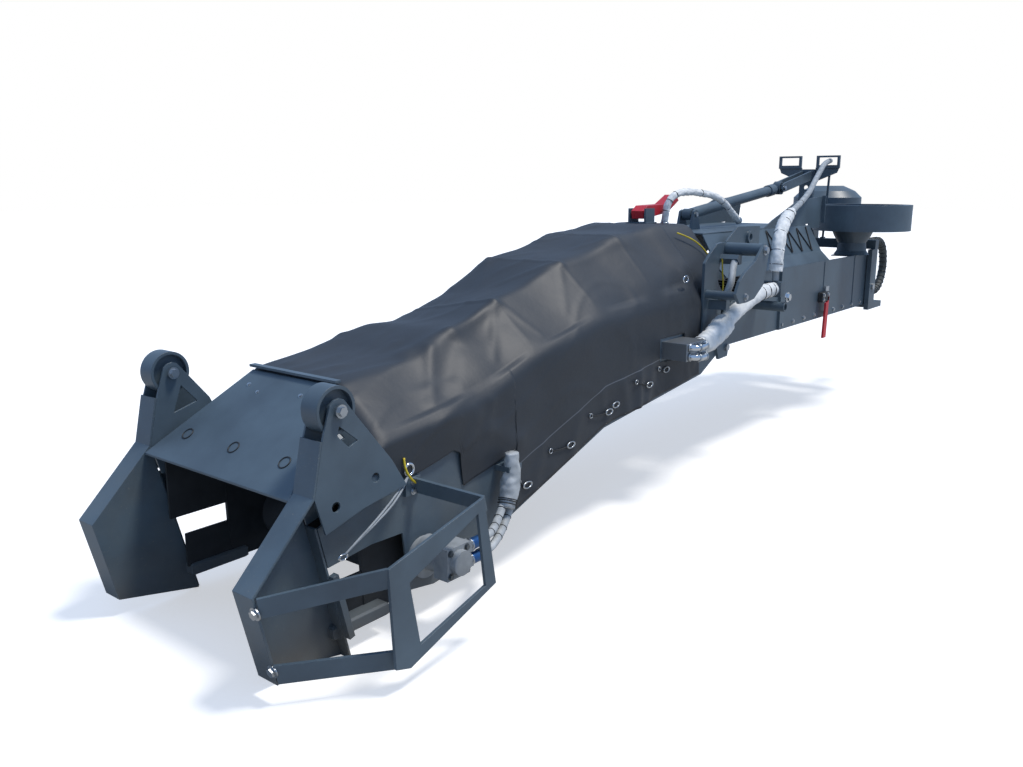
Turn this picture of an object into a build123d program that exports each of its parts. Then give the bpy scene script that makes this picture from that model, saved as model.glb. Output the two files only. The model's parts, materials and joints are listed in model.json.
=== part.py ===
"""Folding discharge conveyor of a cold planer, taken off its machine.

Millimetres, +Z up, +X towards the discharge end, +Y the side of the drive motor.
The origin is the centre of the lower slew lug's underside, on the vertical slew axis.
"""
import os
from math import acos, atan2, cos, degrees, hypot, pi, radians, sin, tan

from build123d import *

# Sheet thicknesses and running gaps
SHEET = 8.0
HEAVY = 16.0
SEAT = 0.3

# Widths, all measured from the centreline
WING_OUT = 550.0
WING_IN = 447.0
SIDE_OUT = 500.0
BELT_HALF = 340.0
LINK_OUT = 745.0
RAIL_Y0 = SIDE_OUT - SHEET
LINK_Y0 = SIDE_OUT - 24
LINK_Y1 = SIDE_OUT - 12

# The fold pin and the two frames' heights there
FOLD_X = 2880.0
FOLD_Z = 40.0
FOLD_PIN_R = 20.0

# Rear frame: bottom edge, wall and covers
REAR_X0 = 300.0
REAR_X1 = 2084.0
REAR_BOTTOM = 40.0
WALL_TOP = 440.0
SHOULDER_Y = 430.0
SHOULDER_Z = 505.0
COVER_Y = 330.0
COVER_Z = 680.0
FIN_X0 = 985.0
CHEEK_Y = 395.0
CHEEK_Z = SHOULDER_Z + (SHOULDER_Y - CHEEK_Y) * (COVER_Z - SHOULDER_Z) / (SHOULDER_Y - COVER_Y) + SEAT
STRIP_T = 4.0

# Slew bracket
LUG_R = 110.0
LUG_H = 80.0
FOOT_H = 45.0
SLEW_BORE_R = 45.0
ARM_X0 = 300.0
ARM_X1 = 430.0
BEAM_X0 = 290.0
BEAM_X1 = 365.0
BEAM_Z0 = 470.0
BEAM_Z1 = 540.0
HEAD_Z0 = 760.0
HEAD_SIDE = 100.0
HEAD_RISE = 95.0
HEAD_R = 270.0
HEAD_BASE = 16.0
HUB_R = 65.0
MAST_Y = 55.0
MAST_X0 = 445.0
MAST_X1 = 490.0
MAST_TOP = 1083.0
MAST_BACK = 400.0
LOOP_Y0 = 62.0
LOOP_Y1 = 244.0
LOOP_Z0 = 1090.0
LOOP_Z1 = 1187.0
LOOP_WALL = 17.0
TAIL_HOSE_Y = 400.0
ARM_Y0 = SIDE_OUT + 6
ARM_Y1 = SIDE_OUT + 40

# Luffing hinge and cylinder
LUFF_X = 365.0
LUFF_Z = 180.0
LUFF_PIN_R = 25.0
STRUT_Y = 104.0
EYE_X = 1030.0
EYE_Z = 940.0
LUG_X = 2430.0
LUG_Z = 780.0
BARREL_R = 35.0
ROD_R = 21.0
CYL_PIN_R = 14.0
EYE_PLAY = 20.0
EYE_R = 48.0
EYE_HALF = 26.0
GLAND_GAP = 112.0

# Belt and drums
BELT_T = 12.0
TAIL_X = 480.0
TAIL_R = 90.0
HEAD_X = 5400.0
DRUM_R = 105.0
TURN_X = 2970.0
TURN_R = 50.0
RETURN_DROP = 190.0
KINK_X = 4140.0
IDLER_R = 45.0

# Fan housing and its neck
FAN_X = 590.0
FAN_Y = 490.0
FAN_R = 352.0
FAN_Z0 = 625.0
FAN_Z1 = 815.0
NECK_R = 108.0

# Where the hoses over the fold end on the rear frame
HOSE_BLOCK_X = 2455.0

# Guide rollers on the discharge hood
ROLLER_X = 5822.0
ROLLER_Z = 239.0
ROLLER_R = 83.0
ROLLER_GAP = 3.5
DISH_DEPTH = 25.0
DISH_RIM = 12.0
HUB_WALL = 12.0
ROLLER_PIN_R = 15.0

FORK_EYE_R = 42.0

# The belt motor's guard and the motor's height over the drum shaft
GUARD_Y = 818.0
GUARD_T = 12.0
MOTOR_RISE = 26.0

# Red lock link over the fold
LOCK_X = 3015.0
LOCK_Z = 805.0
LOCK_PIN_R = 14.0

FRONT_SLOPE = 18.3
MID_SLOPE = 6.0


def block(x0, x1, y0, y1, z0, z1):
    """A plain box between six planes."""
    return Pos((x0 + x1) / 2, (y0 + y1) / 2, (z0 + z1) / 2) * Box(abs(x1 - x0), abs(y1 - y0), abs(z1 - z0))


def slab(points, y0, y1):
    """A plate with the outline points (x, z), from y0 to y1."""
    face = make_face(Polyline(*[(x, z) for x, z in points], close=True))
    lo, hi = min(y0, y1), max(y0, y1)
    return Pos(0, hi, 0) * extrude(Plane.XZ * face, amount=hi - lo)


def bar_y(x, z, r, y0, y1):
    """A round bar along Y."""
    return Pos(x, (y0 + y1) / 2, z) * Rot(90, 0, 0) * Cylinder(r, abs(y1 - y0))


def bar_z(x, y, r, z0, z1):
    """A round bar along Z."""
    return Pos(x, y, (z0 + z1) / 2) * Cylinder(r, abs(z1 - z0))


def tube_y(x, z, r, bore, y0, y1):
    """A round tube along Y."""
    return bar_y(x, z, r, y0, y1) - bar_y(x, z, bore, min(y0, y1) - 1, max(y0, y1) + 1)


def bar_between(a, b, r):
    """A round bar between two points."""
    a, b = Vector(*a), Vector(*b)
    axis = b - a
    return Plane(origin=a, z_dir=axis) * Pos(0, 0, axis.length / 2) * Cylinder(r, axis.length)


def both(solid):
    """The piece and its mirror image across the centreline."""
    return [solid, mirror(solid, about=Plane.XZ)]


def far(solid):
    return mirror(solid, about=Plane.XZ)


parts = {}


def keep(name, *pieces):
    solids = []
    for piece in pieces:
        items = piece if isinstance(piece, (list, tuple)) else [piece]
        for item in items:
            solids.extend(item.solids())
    parts[name] = solids[0] if len(solids) == 1 else Compound(children=solids)


def belt_line(x):
    """Height of the belt's top face along the conveyor."""
    base = FOLD_Z + 210
    if x <= FOLD_X:
        return base
    if x <= KINK_X:
        return base - (x - FOLD_X) * tan(radians(MID_SLOPE))
    knee = base - (KINK_X - FOLD_X) * tan(radians(MID_SLOPE))
    return knee - (x - KINK_X) * tan(radians(FRONT_SLOPE))


RAIL_DROP = 300.0
RAIL_X0 = 2935.0
LIP_X0 = 3150.0
HOSE_PORT_X = 3400.0
SPLIT_Z = -187.0
RAIL_RISE = 45.0
TAIL_Z = belt_line(0) - BELT_T - SEAT - TAIL_R
HEAD_Z = belt_line(HEAD_X) - (DRUM_R + SEAT + BELT_T) / cos(radians(FRONT_SLOPE))
PORT_X = HEAD_X - 100
PORT_A_Z = HEAD_Z + MOTOR_RISE + 26
PORT_B_Z = HEAD_Z + MOTOR_RISE - 34
TURN_Z = belt_line(TURN_X) - (TURN_R + SEAT + BELT_T) / cos(radians(MID_SLOPE))


def rail_bottom(x):
    """Height of the side rails' lower edge along the front frame."""
    return belt_line(x) - RAIL_DROP


def slew_bracket():
    """The yoke round the conveyor's tail, hung on the machine's vertical slew pins."""
    lug = bar_z(0, 0, LUG_R, 0, LUG_H) + block(0, 120, -90, 90, 0, FOOT_H)
    lug += block(110, ARM_X0, -ARM_Y1, ARM_Y1, 0, FOOT_H)
    lug += block(110, 170, TAIL_HOSE_Y - 34, TAIL_HOSE_Y + 34, FOOT_H, 140)
    lug -= bar_z(0, 0, SLEW_BORE_R, -1, LUG_H + 1)
    arm = block(ARM_X0, ARM_X1, ARM_Y0, ARM_Y1, 0, BEAM_Z0)
    beam = block(BEAM_X0, BEAM_X1, -ARM_Y1, ARM_Y1, BEAM_Z0, BEAM_Z1)
    yoke = lug + arm + far(arm) + beam
    for s in (1, -1):
        yoke -= bar_y(LUFF_X, LUFF_Z, LUFF_PIN_R + 0.05, s * SIDE_OUT, s * (ARM_Y1 + 5))
    keep("slew_yoke", yoke)

    def dome(inset, base):
        """The head's round housing, or its inside, as a turned profile."""
        side, top = HEAD_Z0 + HEAD_SIDE, HEAD_Z0 + HEAD_SIDE + HEAD_RISE - inset
        r = HEAD_R - inset
        profile = Polyline((0, base), (r, base), (r, side), (r * 0.8, side + HEAD_RISE * 0.55 - inset),
                           (r * 0.45, top), (0, top), close=True)
        return revolve(Plane.XZ * make_face(profile), Axis.Z)
    head = dome(0, HEAD_Z0) - dome(SHEET, HEAD_Z0 + HEAD_BASE)
    head_top = HEAD_Z0 + HEAD_SIDE + HEAD_RISE
    head += bar_z(0, 0, HUB_R, HEAD_Z0, head_top)
    reach = slab([(HEAD_R - 30, HEAD_Z0 + 5), (HEAD_R - 30, HEAD_Z0 + 90), (MAST_BACK, HEAD_Z0 + 90),
                  (MAST_BACK, HEAD_Z0 + 5)], MAST_Y - HEAVY, MAST_Y)
    head += reach + far(reach)
    head -= bar_z(0, 0, SLEW_BORE_R, HEAD_Z0 - 10, head_top + 10)
    keep("slew_head", head)

    cheek = slab([(BEAM_X0, BEAM_Z1), (BEAM_X1, BEAM_Z1), (MAST_X1, 690), (MAST_X1, MAST_TOP), (MAST_X0, MAST_TOP),
                  (MAST_X0, HEAD_Z0 + 90), (MAST_BACK, HEAD_Z0 + 90), (MAST_BACK, 700), (BEAM_X0, 600)],
                 MAST_Y - HEAVY, MAST_Y)
    front = block(MAST_X1 - 12, MAST_X1, HEAVY - MAST_Y, MAST_Y - HEAVY, 690, MAST_TOP)
    for hole_z in (892, 941):
        front -= Pos(MAST_X1, 0, hole_z) * Rot(0, 90, 0) * Cylinder(18, 60)
    jib = slab([(MAST_X1 - 2, EYE_Z + 60), (MAST_X1 - 2, EYE_Z + 132), (EYE_X - 10, EYE_Z + 36),
                (EYE_X + 22, EYE_Z + 24), (EYE_X + 32, EYE_Z - 6), (EYE_X + 14, EYE_Z - 30), (EYE_X - 30, EYE_Z - 26)],
               EYE_HALF + 4, MAST_Y - 10)
    jib -= bar_y(EYE_X, EYE_Z, CYL_PIN_R, 0, 100)
    keep("mast_post", cheek + far(cheek) + front + jib + far(jib))
    keep("mast_pin", bar_y(EYE_X, EYE_Z, CYL_PIN_R, -MAST_Y - 4, MAST_Y + 4))

    loops = []
    for s in (1, -1):
        plate = make_face(Polyline((s * MAST_Y, LOOP_Z0 - 105), (s * MAST_Y, LOOP_Z0 + 5), (s * LOOP_Y1, LOOP_Z0 + 10),
                                   (s * (LOOP_Y1 - 18), LOOP_Z0 - 35), close=True))
        gusset = Pos(MAST_X0, 0, 0) * extrude(Plane.YZ * plate, amount=10)
        frame = block(MAST_X0 - 5, MAST_X0 + 20, s * LOOP_Y0, s * LOOP_Y1, LOOP_Z0, LOOP_Z1)
        frame -= block(MAST_X0 - 9, MAST_X0 + 30, s * (LOOP_Y0 + LOOP_WALL), s * (LOOP_Y1 - LOOP_WALL),
                       LOOP_Z0 + 24, LOOP_Z1 - LOOP_WALL + 3)
        loops.append(gusset + frame)
    keep("hose_loops", loops)
    foot = block(305, 345, STRUT_Y - 14, STRUT_Y + 14, BEAM_Z1, BEAM_Z1 + 10)
    strut_top = (MAST_X0 - 9.6, 163, LOOP_Z0 - 40)
    keep("mast_strut", bar_between(strut_top, (325, STRUT_Y, BEAM_Z1 + 6), 9) + foot)

    pins = [bar_y(LUFF_X, LUFF_Z, LUFF_PIN_R, s * (LINK_Y0 + 2), s * (ARM_Y1 + 12)) for s in (1, -1)]
    keep("luff_pins", pins)


def rear_section():
    """The tail frame with its walls, covers, hopper and belt."""
    wall = slab([(REAR_X0, REAR_BOTTOM + 70), (REAR_X0 + 50, REAR_BOTTOM), (REAR_X1, REAR_BOTTOM), (REAR_X1, WALL_TOP),
                 (REAR_X0, WALL_TOP)], RAIL_Y0, SIDE_OUT)
    boss = bar_y(LUFF_X, LUFF_Z, 60, LINK_Y0, SIDE_OUT)
    link = slab([(REAR_X1 - 150, REAR_BOTTOM), (FOLD_X, REAR_BOTTOM), (FOLD_X, 230), (2700, 330),
                 (2640, WALL_TOP), (REAR_X1 - 150, WALL_TOP)], LINK_Y0, LINK_Y1)
    link += bar_y(FOLD_X, FOLD_Z, 45, LINK_Y0, LINK_Y1)
    foot = block(REAR_X1 - 150, REAR_X1, LINK_Y1, RAIL_Y0, REAR_BOTTOM, WALL_TOP)
    flange = block(REAR_X0 + 50, FOLD_X - 60, LINK_Y0 - 46, LINK_Y0, REAR_BOTTOM, REAR_BOTTOM + SHEET)
    flange += block(REAR_X0 + 50, REAR_X1 - 150, LINK_Y0, RAIL_Y0, REAR_BOTTOM, REAR_BOTTOM + SHEET)
    side = wall + boss + link + foot + flange
    for x, width, low in ((1321, 18, 265), (REAR_X1 - 30, 60, 50), (700, 14, 50)):
        side += block(x - width / 2, x + width / 2, SIDE_OUT, SIDE_OUT + STRIP_T, low, WALL_TOP - 6)
    side -= bar_y(LUFF_X, LUFF_Z, LUFF_PIN_R + 0.05, LINK_Y0 - 10, SIDE_OUT + 10)
    side -= bar_y(FOLD_X, FOLD_Z, FOLD_PIN_R, LINK_Y0 - 10, SIDE_OUT + 10)
    frame = side + far(side)
    for x in (760, 1500, 2200, 2690):
        reach = RAIL_Y0 if x < REAR_X1 - 150 else LINK_Y0
        frame += tube_y(x, 185, 30, 24, -reach, reach)
    keep("rear_frame", frame)

    covers = []
    for s in (1, -1):
        section = make_face(Polyline((s * (SIDE_OUT - 4), WALL_TOP), (s * SHOULDER_Y, SHOULDER_Z),
                                     (s * COVER_Y, COVER_Z), (s * (COVER_Y - SHEET), COVER_Z),
                                     (s * (SHOULDER_Y - 9), SHOULDER_Z - 4), (s * (SIDE_OUT - 14), WALL_TOP),
                                     close=True))
        covers.append(Pos(1230, 0, 0) * extrude(Plane.YZ * section, amount=FOLD_X - 12 - 1230))
    keep("rear_cover_near", covers[0])
    keep("rear_cover_far", covers[1])
    keep("rear_top_cover", block(1310, FOLD_X - 12, -COVER_Y, COVER_Y, COVER_Z, COVER_Z + SHEET))

    fin = slab([(1310, COVER_Z + SHEET), (1990, COVER_Z + SHEET), (1863, 735), (1455, 853), (1056, 879), (FIN_X0, 879),
                (FIN_X0, 800), (FIN_X0 + 35, 655), (1225, 655), (1225, 690)], COVER_Y - 12, COVER_Y - 4)
    edge = block(FIN_X0, FIN_X0 + 10, COVER_Y - 4, COVER_Y + 22, 690, 885)
    keep("hopper_fins", both(fin + edge))

    cheek = slab([(2250, CHEEK_Z), (2250, 712), (2566, 719), (2712, 637), (2712, CHEEK_Z)], CHEEK_Y, CHEEK_Y + 12)
    cheek += bar_y(2410, 650, 38, CHEEK_Y + 12, CHEEK_Y + 28)
    cheek -= bar_y(2410, 650, 22, CHEEK_Y - 5, CHEEK_Y + 40)
    keep("fold_cheeks", both(cheek))

    belt = belt_loop([(TAIL_X, TAIL_Z, TAIL_R), (FOLD_X - 75, belt_line(0) - BELT_T - 48, 48)])
    keep("belt_rear", belt)
    keep("tail_drum", bar_y(TAIL_X, TAIL_Z, TAIL_R, -350, 350) + bar_y(TAIL_X, TAIL_Z, 25, -RAIL_Y0, RAIL_Y0))
    idlers = [bar_y(x, belt_line(0) - BELT_T - IDLER_R - SEAT, IDLER_R, -350, 350)
              + bar_y(x, belt_line(0) - BELT_T - IDLER_R - SEAT, 15, -LINK_Y0, LINK_Y0) for x in (1130, 1870, 2520)]
    keep("idlers_rear", idlers)

    waist = [(NECK_R + 20, 0), (NECK_R, 30), (NECK_R - 5, 90), (NECK_R + 25, 140), (NECK_R + 45, FAN_Z0 - WALL_TOP)]
    outline = make_face(Polyline((0, 0), *waist, (0, FAN_Z0 - WALL_TOP), close=True))
    neck = Pos(FAN_X, FAN_Y - 60, WALL_TOP) * revolve(Plane.XZ * outline, Axis.Z)
    seat = block(FAN_X - 150, FAN_X + 150, 330, RAIL_Y0, WALL_TOP - SHEET, WALL_TOP)
    keep("fan_neck", neck + seat)
    pan = bar_z(FAN_X, FAN_Y, FAN_R, FAN_Z0, FAN_Z1) - bar_z(FAN_X, FAN_Y, FAN_R - SHEET, FAN_Z0 + SHEET, FAN_Z1 - 14)
    pan -= bar_z(FAN_X, FAN_Y, FAN_R - 60, FAN_Z1 - 30, FAN_Z1 + 10)
    pan += bar_z(FAN_X, FAN_Y, FAN_R - 100, FAN_Z0 + SHEET, FAN_Z0 + 60)
    keep("fan_housing", pan)

    keep("fold_pins", both(bar_y(FOLD_X, FOLD_Z, FOLD_PIN_R, LINK_Y0 - 8, SIDE_OUT + HEAVY + 14)))
    lower = tube_y(2460, 245, 29, 20, LINK_Y1, 690) + tube_y(2460, 245, 29, 20, -LINK_Y1, -690)
    port = block(HOSE_BLOCK_X - 60, HOSE_BLOCK_X, LINK_Y1 + SEAT, 652, 300, 390)
    keep("fold_tubes_rear", lower, port)
    lug = slab([(LUG_X - 60, COVER_Z + SHEET), (LUG_X + 60, COVER_Z + SHEET), (LUG_X + 28, LUG_Z + 20),
                (LUG_X, LUG_Z + 30), (LUG_X - 28, LUG_Z + 20)], BARREL_R + 3, BARREL_R + 3 + HEAVY)
    lug -= bar_y(LUG_X, LUG_Z, CYL_PIN_R, 0, 100)
    keep("luff_lugs", both(lug))
    keep("luff_base_pin", bar_y(LUG_X, LUG_Z, CYL_PIN_R, -BARREL_R - 29, BARREL_R + 29))
    latch = block(1270, 1330, SIDE_OUT, SIDE_OUT + 22, 170, 260)
    handle = slab([(1285, 190), (1315, 190), (1322, -100), (1302, -106)], SIDE_OUT + 22, SIDE_OUT + 34)
    keep("latch_box", latch)
    keep("latch_handle", handle)


def belt_loop(drums):
    """A closed belt round two drums, given as (x, z, radius)."""
    (xa, za, ra), (xb, zb, rb) = drums
    angle = atan2(zb - za, xb - xa)
    length = hypot(xb - xa, zb - za)
    tilt = atan2(ra - rb, length)

    def loop(offset):
        up = angle + radians(90) - tilt
        dn = angle - radians(90) + tilt
        a1 = (xa + (ra + offset) * cos(up), za + (ra + offset) * sin(up))
        b1 = (xb + (rb + offset) * cos(up), zb + (rb + offset) * sin(up))
        b2 = (xb + (rb + offset) * cos(dn), zb + (rb + offset) * sin(dn))
        a2 = (xa + (ra + offset) * cos(dn), za + (ra + offset) * sin(dn))
        bm = (xb + (rb + offset) * cos(angle), zb + (rb + offset) * sin(angle))
        am = (xa - (ra + offset) * cos(angle), za - (ra + offset) * sin(angle))
        return make_face([Line(a1, b1), ThreePointArc(b1, bm, b2), Line(b2, a2), ThreePointArc(a2, am, a1)])
    ring = loop(SEAT + BELT_T) - loop(SEAT)
    return Pos(0, BELT_HALF, 0) * extrude(Plane.XZ * ring, amount=2 * BELT_HALF)


def luffing_cylinder():
    """The lifting cylinder between the tail's top cover and the mast's head."""
    length = hypot(EYE_X - LUG_X, EYE_Z - LUG_Z)
    pitch = degrees(atan2(EYE_Z - LUG_Z, LUG_X - EYE_X))
    place = Pos(LUG_X, 0, LUG_Z) * Rot(0, -90 + pitch, 0)
    barrel_end = length - GLAND_GAP
    upright = (Align.CENTER, Align.CENTER, Align.MIN)
    barrel = Pos(0, 0, 30) * Cylinder(BARREL_R, barrel_end - 30, align=upright)
    barrel += Rot(90, 0, 0) * Cylinder(BARREL_R + 1, 60)
    barrel += Pos(0, 0, barrel_end - 90) * Cylinder(BARREL_R + 7, 90, align=upright)
    barrel -= Rot(90, 0, 0) * Cylinder(CYL_PIN_R + 0.05, 80)
    bore_start = barrel_end / 2
    barrel -= Pos(0, 0, bore_start) * Cylinder(ROD_R + 0.1, barrel_end - bore_start + 1, align=upright)
    keep("luff_barrel", place * barrel)
    rod_start, neck = barrel_end - 400, length - EYE_R - 4
    keep("luff_rod", place * Pos(0, 0, rod_start) * Cylinder(ROD_R, neck - rod_start, align=upright))
    eye = Pos(0, 0, length) * Rot(90, 0, 0) * Cylinder(EYE_R, 2 * EYE_HALF)
    eye += Pos(0, 0, neck) * Cylinder(ROD_R, 30, align=upright)
    eye -= Pos(0, 0, length) * Rot(90, 0, 0) * Cylinder(CYL_PIN_R + EYE_PLAY, 80)
    keep("luff_eye", place * eye)


def front_section():
    """The discharge frame with its belt, tarpaulin, hood, wings and drive."""
    rail_pts = [(RAIL_X0, FOLD_Z - 20), (LIP_X0, rail_bottom(LIP_X0)), (KINK_X, rail_bottom(KINK_X)),
                (5250, rail_bottom(5250)), (5340, -560), (5470, -540), (5500, -300), (5655, -296), (5856, -318),
                (5893, -165), (5560, -40), (5200, 0), (5100, belt_line(5100) + RAIL_RISE),
                (KINK_X, belt_line(KINK_X) + RAIL_RISE), (RAIL_X0, belt_line(RAIL_X0) + RAIL_RISE)]
    rail = slab(rail_pts, RAIL_Y0, SIDE_OUT)
    lip = slab([(LIP_X0, rail_bottom(LIP_X0)), (KINK_X, rail_bottom(KINK_X)), (5250, rail_bottom(5250)),
                (5250, rail_bottom(5250) + SHEET), (KINK_X, rail_bottom(KINK_X) + SHEET),
                (LIP_X0, rail_bottom(LIP_X0) + SHEET)], 440, RAIL_Y0)
    side = rail + lip
    frame = side + far(side)
    for x in (3100, 3700, 4300, 4900):
        frame += tube_y(x, belt_line(x) - 75, 26, 20, -RAIL_Y0, RAIL_Y0)
    for s in (1, -1):
        frame -= bar_y(HEAD_X, HEAD_Z, 30, s * (SIDE_OUT - 60), s * (SIDE_OUT + 10))
    port = block(HOSE_PORT_X, HOSE_PORT_X + 210, SIDE_OUT, 648, 78, 168)
    split = block(4885, 4969, SIDE_OUT, 580, SPLIT_Z, SPLIT_Z + 24)
    keep("front_frame", frame + port + split)

    plate_pts = [(2900, 618), (2928, 648), (2985, 650), (3052, 643), (3120, 600), (3188, 545), (3188, 150), (3043, 150),
                 (2968, -19), (2858, -15), (2842, 55), (2905, 120), (3022, 260), (3022, 473), (2990, 565)]
    plate = slab(plate_pts, SIDE_OUT, SIDE_OUT + HEAVY)
    plate -= bar_y(FOLD_X, FOLD_Z, FOLD_PIN_R + 0.05, SIDE_OUT - 10, SIDE_OUT + HEAVY + 10)
    arch_port = slab([(2958, 584), (2994, 584), (3016, 562), (2984, 530), (2958, 530)], SIDE_OUT + HEAVY, 622)
    arch_port += block(3082, 3126, SIDE_OUT + HEAVY, 622, 290, 343)
    keep("fold_plates_front", plate + arch_port, far(plate))
    outer = slab([(2880, 585), (2893, 630), (2940, 648), (3046, 560), (3174, 505), (3236, 465), (3275, 400),
                  (3225, 345), (3133, 345), (3044, 356), (2930, 425)], LINK_OUT - HEAVY, LINK_OUT)
    tubes = tube_y(2930, 612, 35, 24, SIDE_OUT + HEAVY, LINK_OUT - HEAVY)
    tubes += tube_y(3155, 375, 24, 16, SIDE_OUT + HEAVY, LINK_OUT - HEAVY)
    keep("fold_guard_plate", outer + tubes)

    keep("belt_front", front_belt())
    keep("turn_roller", bar_y(TURN_X, TURN_Z, TURN_R, -350, 350) + bar_y(TURN_X, TURN_Z, 15, -RAIL_Y0, RAIL_Y0))
    drum = bar_y(HEAD_X, HEAD_Z, DRUM_R, -350, 350)
    keep("head_drum", drum + bar_y(HEAD_X, HEAD_Z, 30 - 0.05, -SIDE_OUT - 20, SIDE_OUT))
    idlers = []
    for x in (3300, 3900, 4500, 5000):
        z = belt_line(x) - BELT_T - IDLER_R - 4
        idlers.append(bar_y(x, z, IDLER_R, -350, 350) + bar_y(x, z, 15, -RAIL_Y0, RAIL_Y0))
    keep("idlers_front", idlers)

    tarp()
    hood()
    drive()
    rollers()
    lock()


def tangent(point, centre, r, side):
    """Where a line from the point touches the circle, on the side given as 1 or -1."""
    dx, dz = point[0] - centre[0], point[1] - centre[1]
    turn = atan2(dz, dx) + side * acos(r / hypot(dx, dz))
    return centre[0] + r * cos(turn), centre[1] + r * sin(turn)


def front_belt():
    """The discharge belt round the turn roller and the head drum, bent at the kink."""
    head, turn = (HEAD_X, HEAD_Z), (TURN_X, TURN_Z)
    head_r, turn_r = DRUM_R + SEAT + BELT_T, TURN_R + SEAT + BELT_T
    knee, knee_low = (KINK_X, belt_line(KINK_X)), (KINK_X, belt_line(KINK_X) - RETURN_DROP)
    t_up, h_up = tangent(knee, turn, turn_r, 1), tangent(knee, head, head_r, -1)
    h_low, t_low = tangent(knee_low, head, head_r, 1), tangent(knee_low, turn, turn_r, -1)
    outer = make_face([Line(t_up, knee), Line(knee, h_up),
                       ThreePointArc(h_up, (HEAD_X + head_r, HEAD_Z), h_low), Line(h_low, knee_low),
                       Line(knee_low, t_low), ThreePointArc(t_low, (TURN_X - turn_r, TURN_Z), t_up)])
    ring = outer - offset(outer, amount=-BELT_T)
    return Pos(0, BELT_HALF, 0) * extrude(Plane.XZ * ring, amount=2 * BELT_HALF)


def skin(rows, thick):
    """A closed sheet over rows of points (x, [(y, z), ...]), thick inwards and down."""
    outer = [[(x, y, z) for y, z in line] for x, line in rows]
    inner = []
    for row in outer:
        pts = []
        for j, (x, y, z) in enumerate(row):
            rim = j in (0, len(row) - 1)
            pts.append((x, y - thick * (1 if y > 0 else -1), z if rim else z - thick))
        inner.append(pts)
    faces = []

    def quad(p, q, r, s):
        faces.append(make_face(Polyline(p, q, r, close=True)))
        faces.append(make_face(Polyline(p, r, s, close=True)))
    for layer in (outer, inner):
        for lo, hi in zip(layer, layer[1:]):
            for j in range(len(lo) - 1):
                quad(lo[j], hi[j], hi[j + 1], lo[j + 1])
    for k in (0, -1):
        for j in range(len(outer[k]) - 1):
            quad(outer[k][j], outer[k][j + 1], inner[k][j + 1], inner[k][j])
    for lo, hi, lo_in, hi_in in zip(outer, outer[1:], inner, inner[1:]):
        for j in (0, -1):
            quad(lo[j], hi[j], hi_in[j], lo_in[j])
    return Solid(Shell([face for made in faces for face in made.faces()]))


def hoop_line(half, top, slope, side, low, hem):
    """Half of a hoop's outline from hem to top, given twice over as one line across."""
    right = [(half, top), slope, (side, low), (side, hem)]
    left = [(-y, z) for y, z in reversed(right)]
    return left + right


# Stations of the tarpaulin: x, top height, half width of the top, height at SLOPE_Y, height where the side drops
TARP_X0 = 3190.0
TARP_X1 = 5582.0
SLOPE_Y = 430.0
TARP = [(TARP_X0, 750, 230, 520, 345), (3307, 745, 230, 515, 345), (3641, 704, 225, 470, 345),
        (4145, 601, 230, 415, 341), (4650, 468, 230, 303, 241), (4980, 375, 262, 215, 131),
        (5210, 300, 270, 165, 95), (TARP_X1, 248, 250, 130, 60)]
TARP_T = 3.5
TARP_SIDE = SIDE_OUT + 4
HEM_RISE = 15.0
ARCH_IN = 8.0
ARCH_TOP = TARP[0][1] - ARCH_IN


def tarp():
    """The tarpaulin over its hoops, with the inside open, and the arched sheet behind it."""
    rows = [(x, hoop_line(half, top, (SLOPE_Y, slope), TARP_SIDE, low, rail_bottom(x) + HEM_RISE))
            for x, top, half, slope, low in TARP]
    cover = skin(rows, TARP_T)
    cover -= slab([(4830, -800), (4830, -190), (4846, -131), (4926, -148), (5079, -181), (5165, -204), (5190, -60),
                   (5228, -40), (5425, -85), (5700, -85), (5700, -800)], -600, 600)
    for s in (1, -1):
        cover -= slab([(5700, 400), (5672, 320), (5552, 14), (5505, -140), (5800, -140), (5800, 400)],
                      s * 435, s * 620)
    cover -= block(HOSE_PORT_X - 16, HOSE_PORT_X + 226, RAIL_Y0, TARP_SIDE + 20, 62, 184)
    keep("tarp_cover", cover)

    side = TARP_SIDE - ARCH_IN
    rear = hoop_line(245, ARCH_TOP, (372, 590), side, 330, arch_hem(FOLD_X + 15))
    front = hoop_line(TARP[0][2], ARCH_TOP, (SLOPE_Y - ARCH_IN, 512), side, 337, arch_hem(TARP_X0 - 2))
    keep("arch_sheet", skin([(FOLD_X + 15, rear), (TARP_X0 - 2, front)], 4))
    bar_z0 = 251.1
    keep("tarp_bar", block(TARP_X1 - 20, TARP_X1 + 8, -262, 262, bar_z0, bar_z0 + 10))


def arch_hem(x):
    """The arched sheet stands on the top edge of the side rails."""
    return belt_line(x) + RAIL_RISE + SEAT


# The discharge hood's plate: lower edge, upper edge and the folded side facets
HOOD_LOW = (5965.0, -57.0)
HOOD_TOP = (5582.0, 240.0)
HOOD_TOP_HALF = 250.0
HOOD_FACET_Z = 60.0


def facet(points, drop):
    """A flat facet given by its top corners, as thick as drop."""
    return extrude(make_face(Polyline(*points, close=True)), amount=drop, dir=(0, 0, -1))


def panel(a, b, c, d, thick):
    """A flat bar with four corners in one plane."""
    return extrude(make_face(Polyline(a, b, c, d, close=True)), amount=thick)


def eye_arc(x, z, r, start, end, steps):
    """Points round a plate's rounded end, from one angle to the other in degrees."""
    turns = [radians(start + (end - start) * k / steps) for k in range(steps + 1)]
    return [(x + r * cos(t), z + r * sin(t)) for t in turns]


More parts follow.
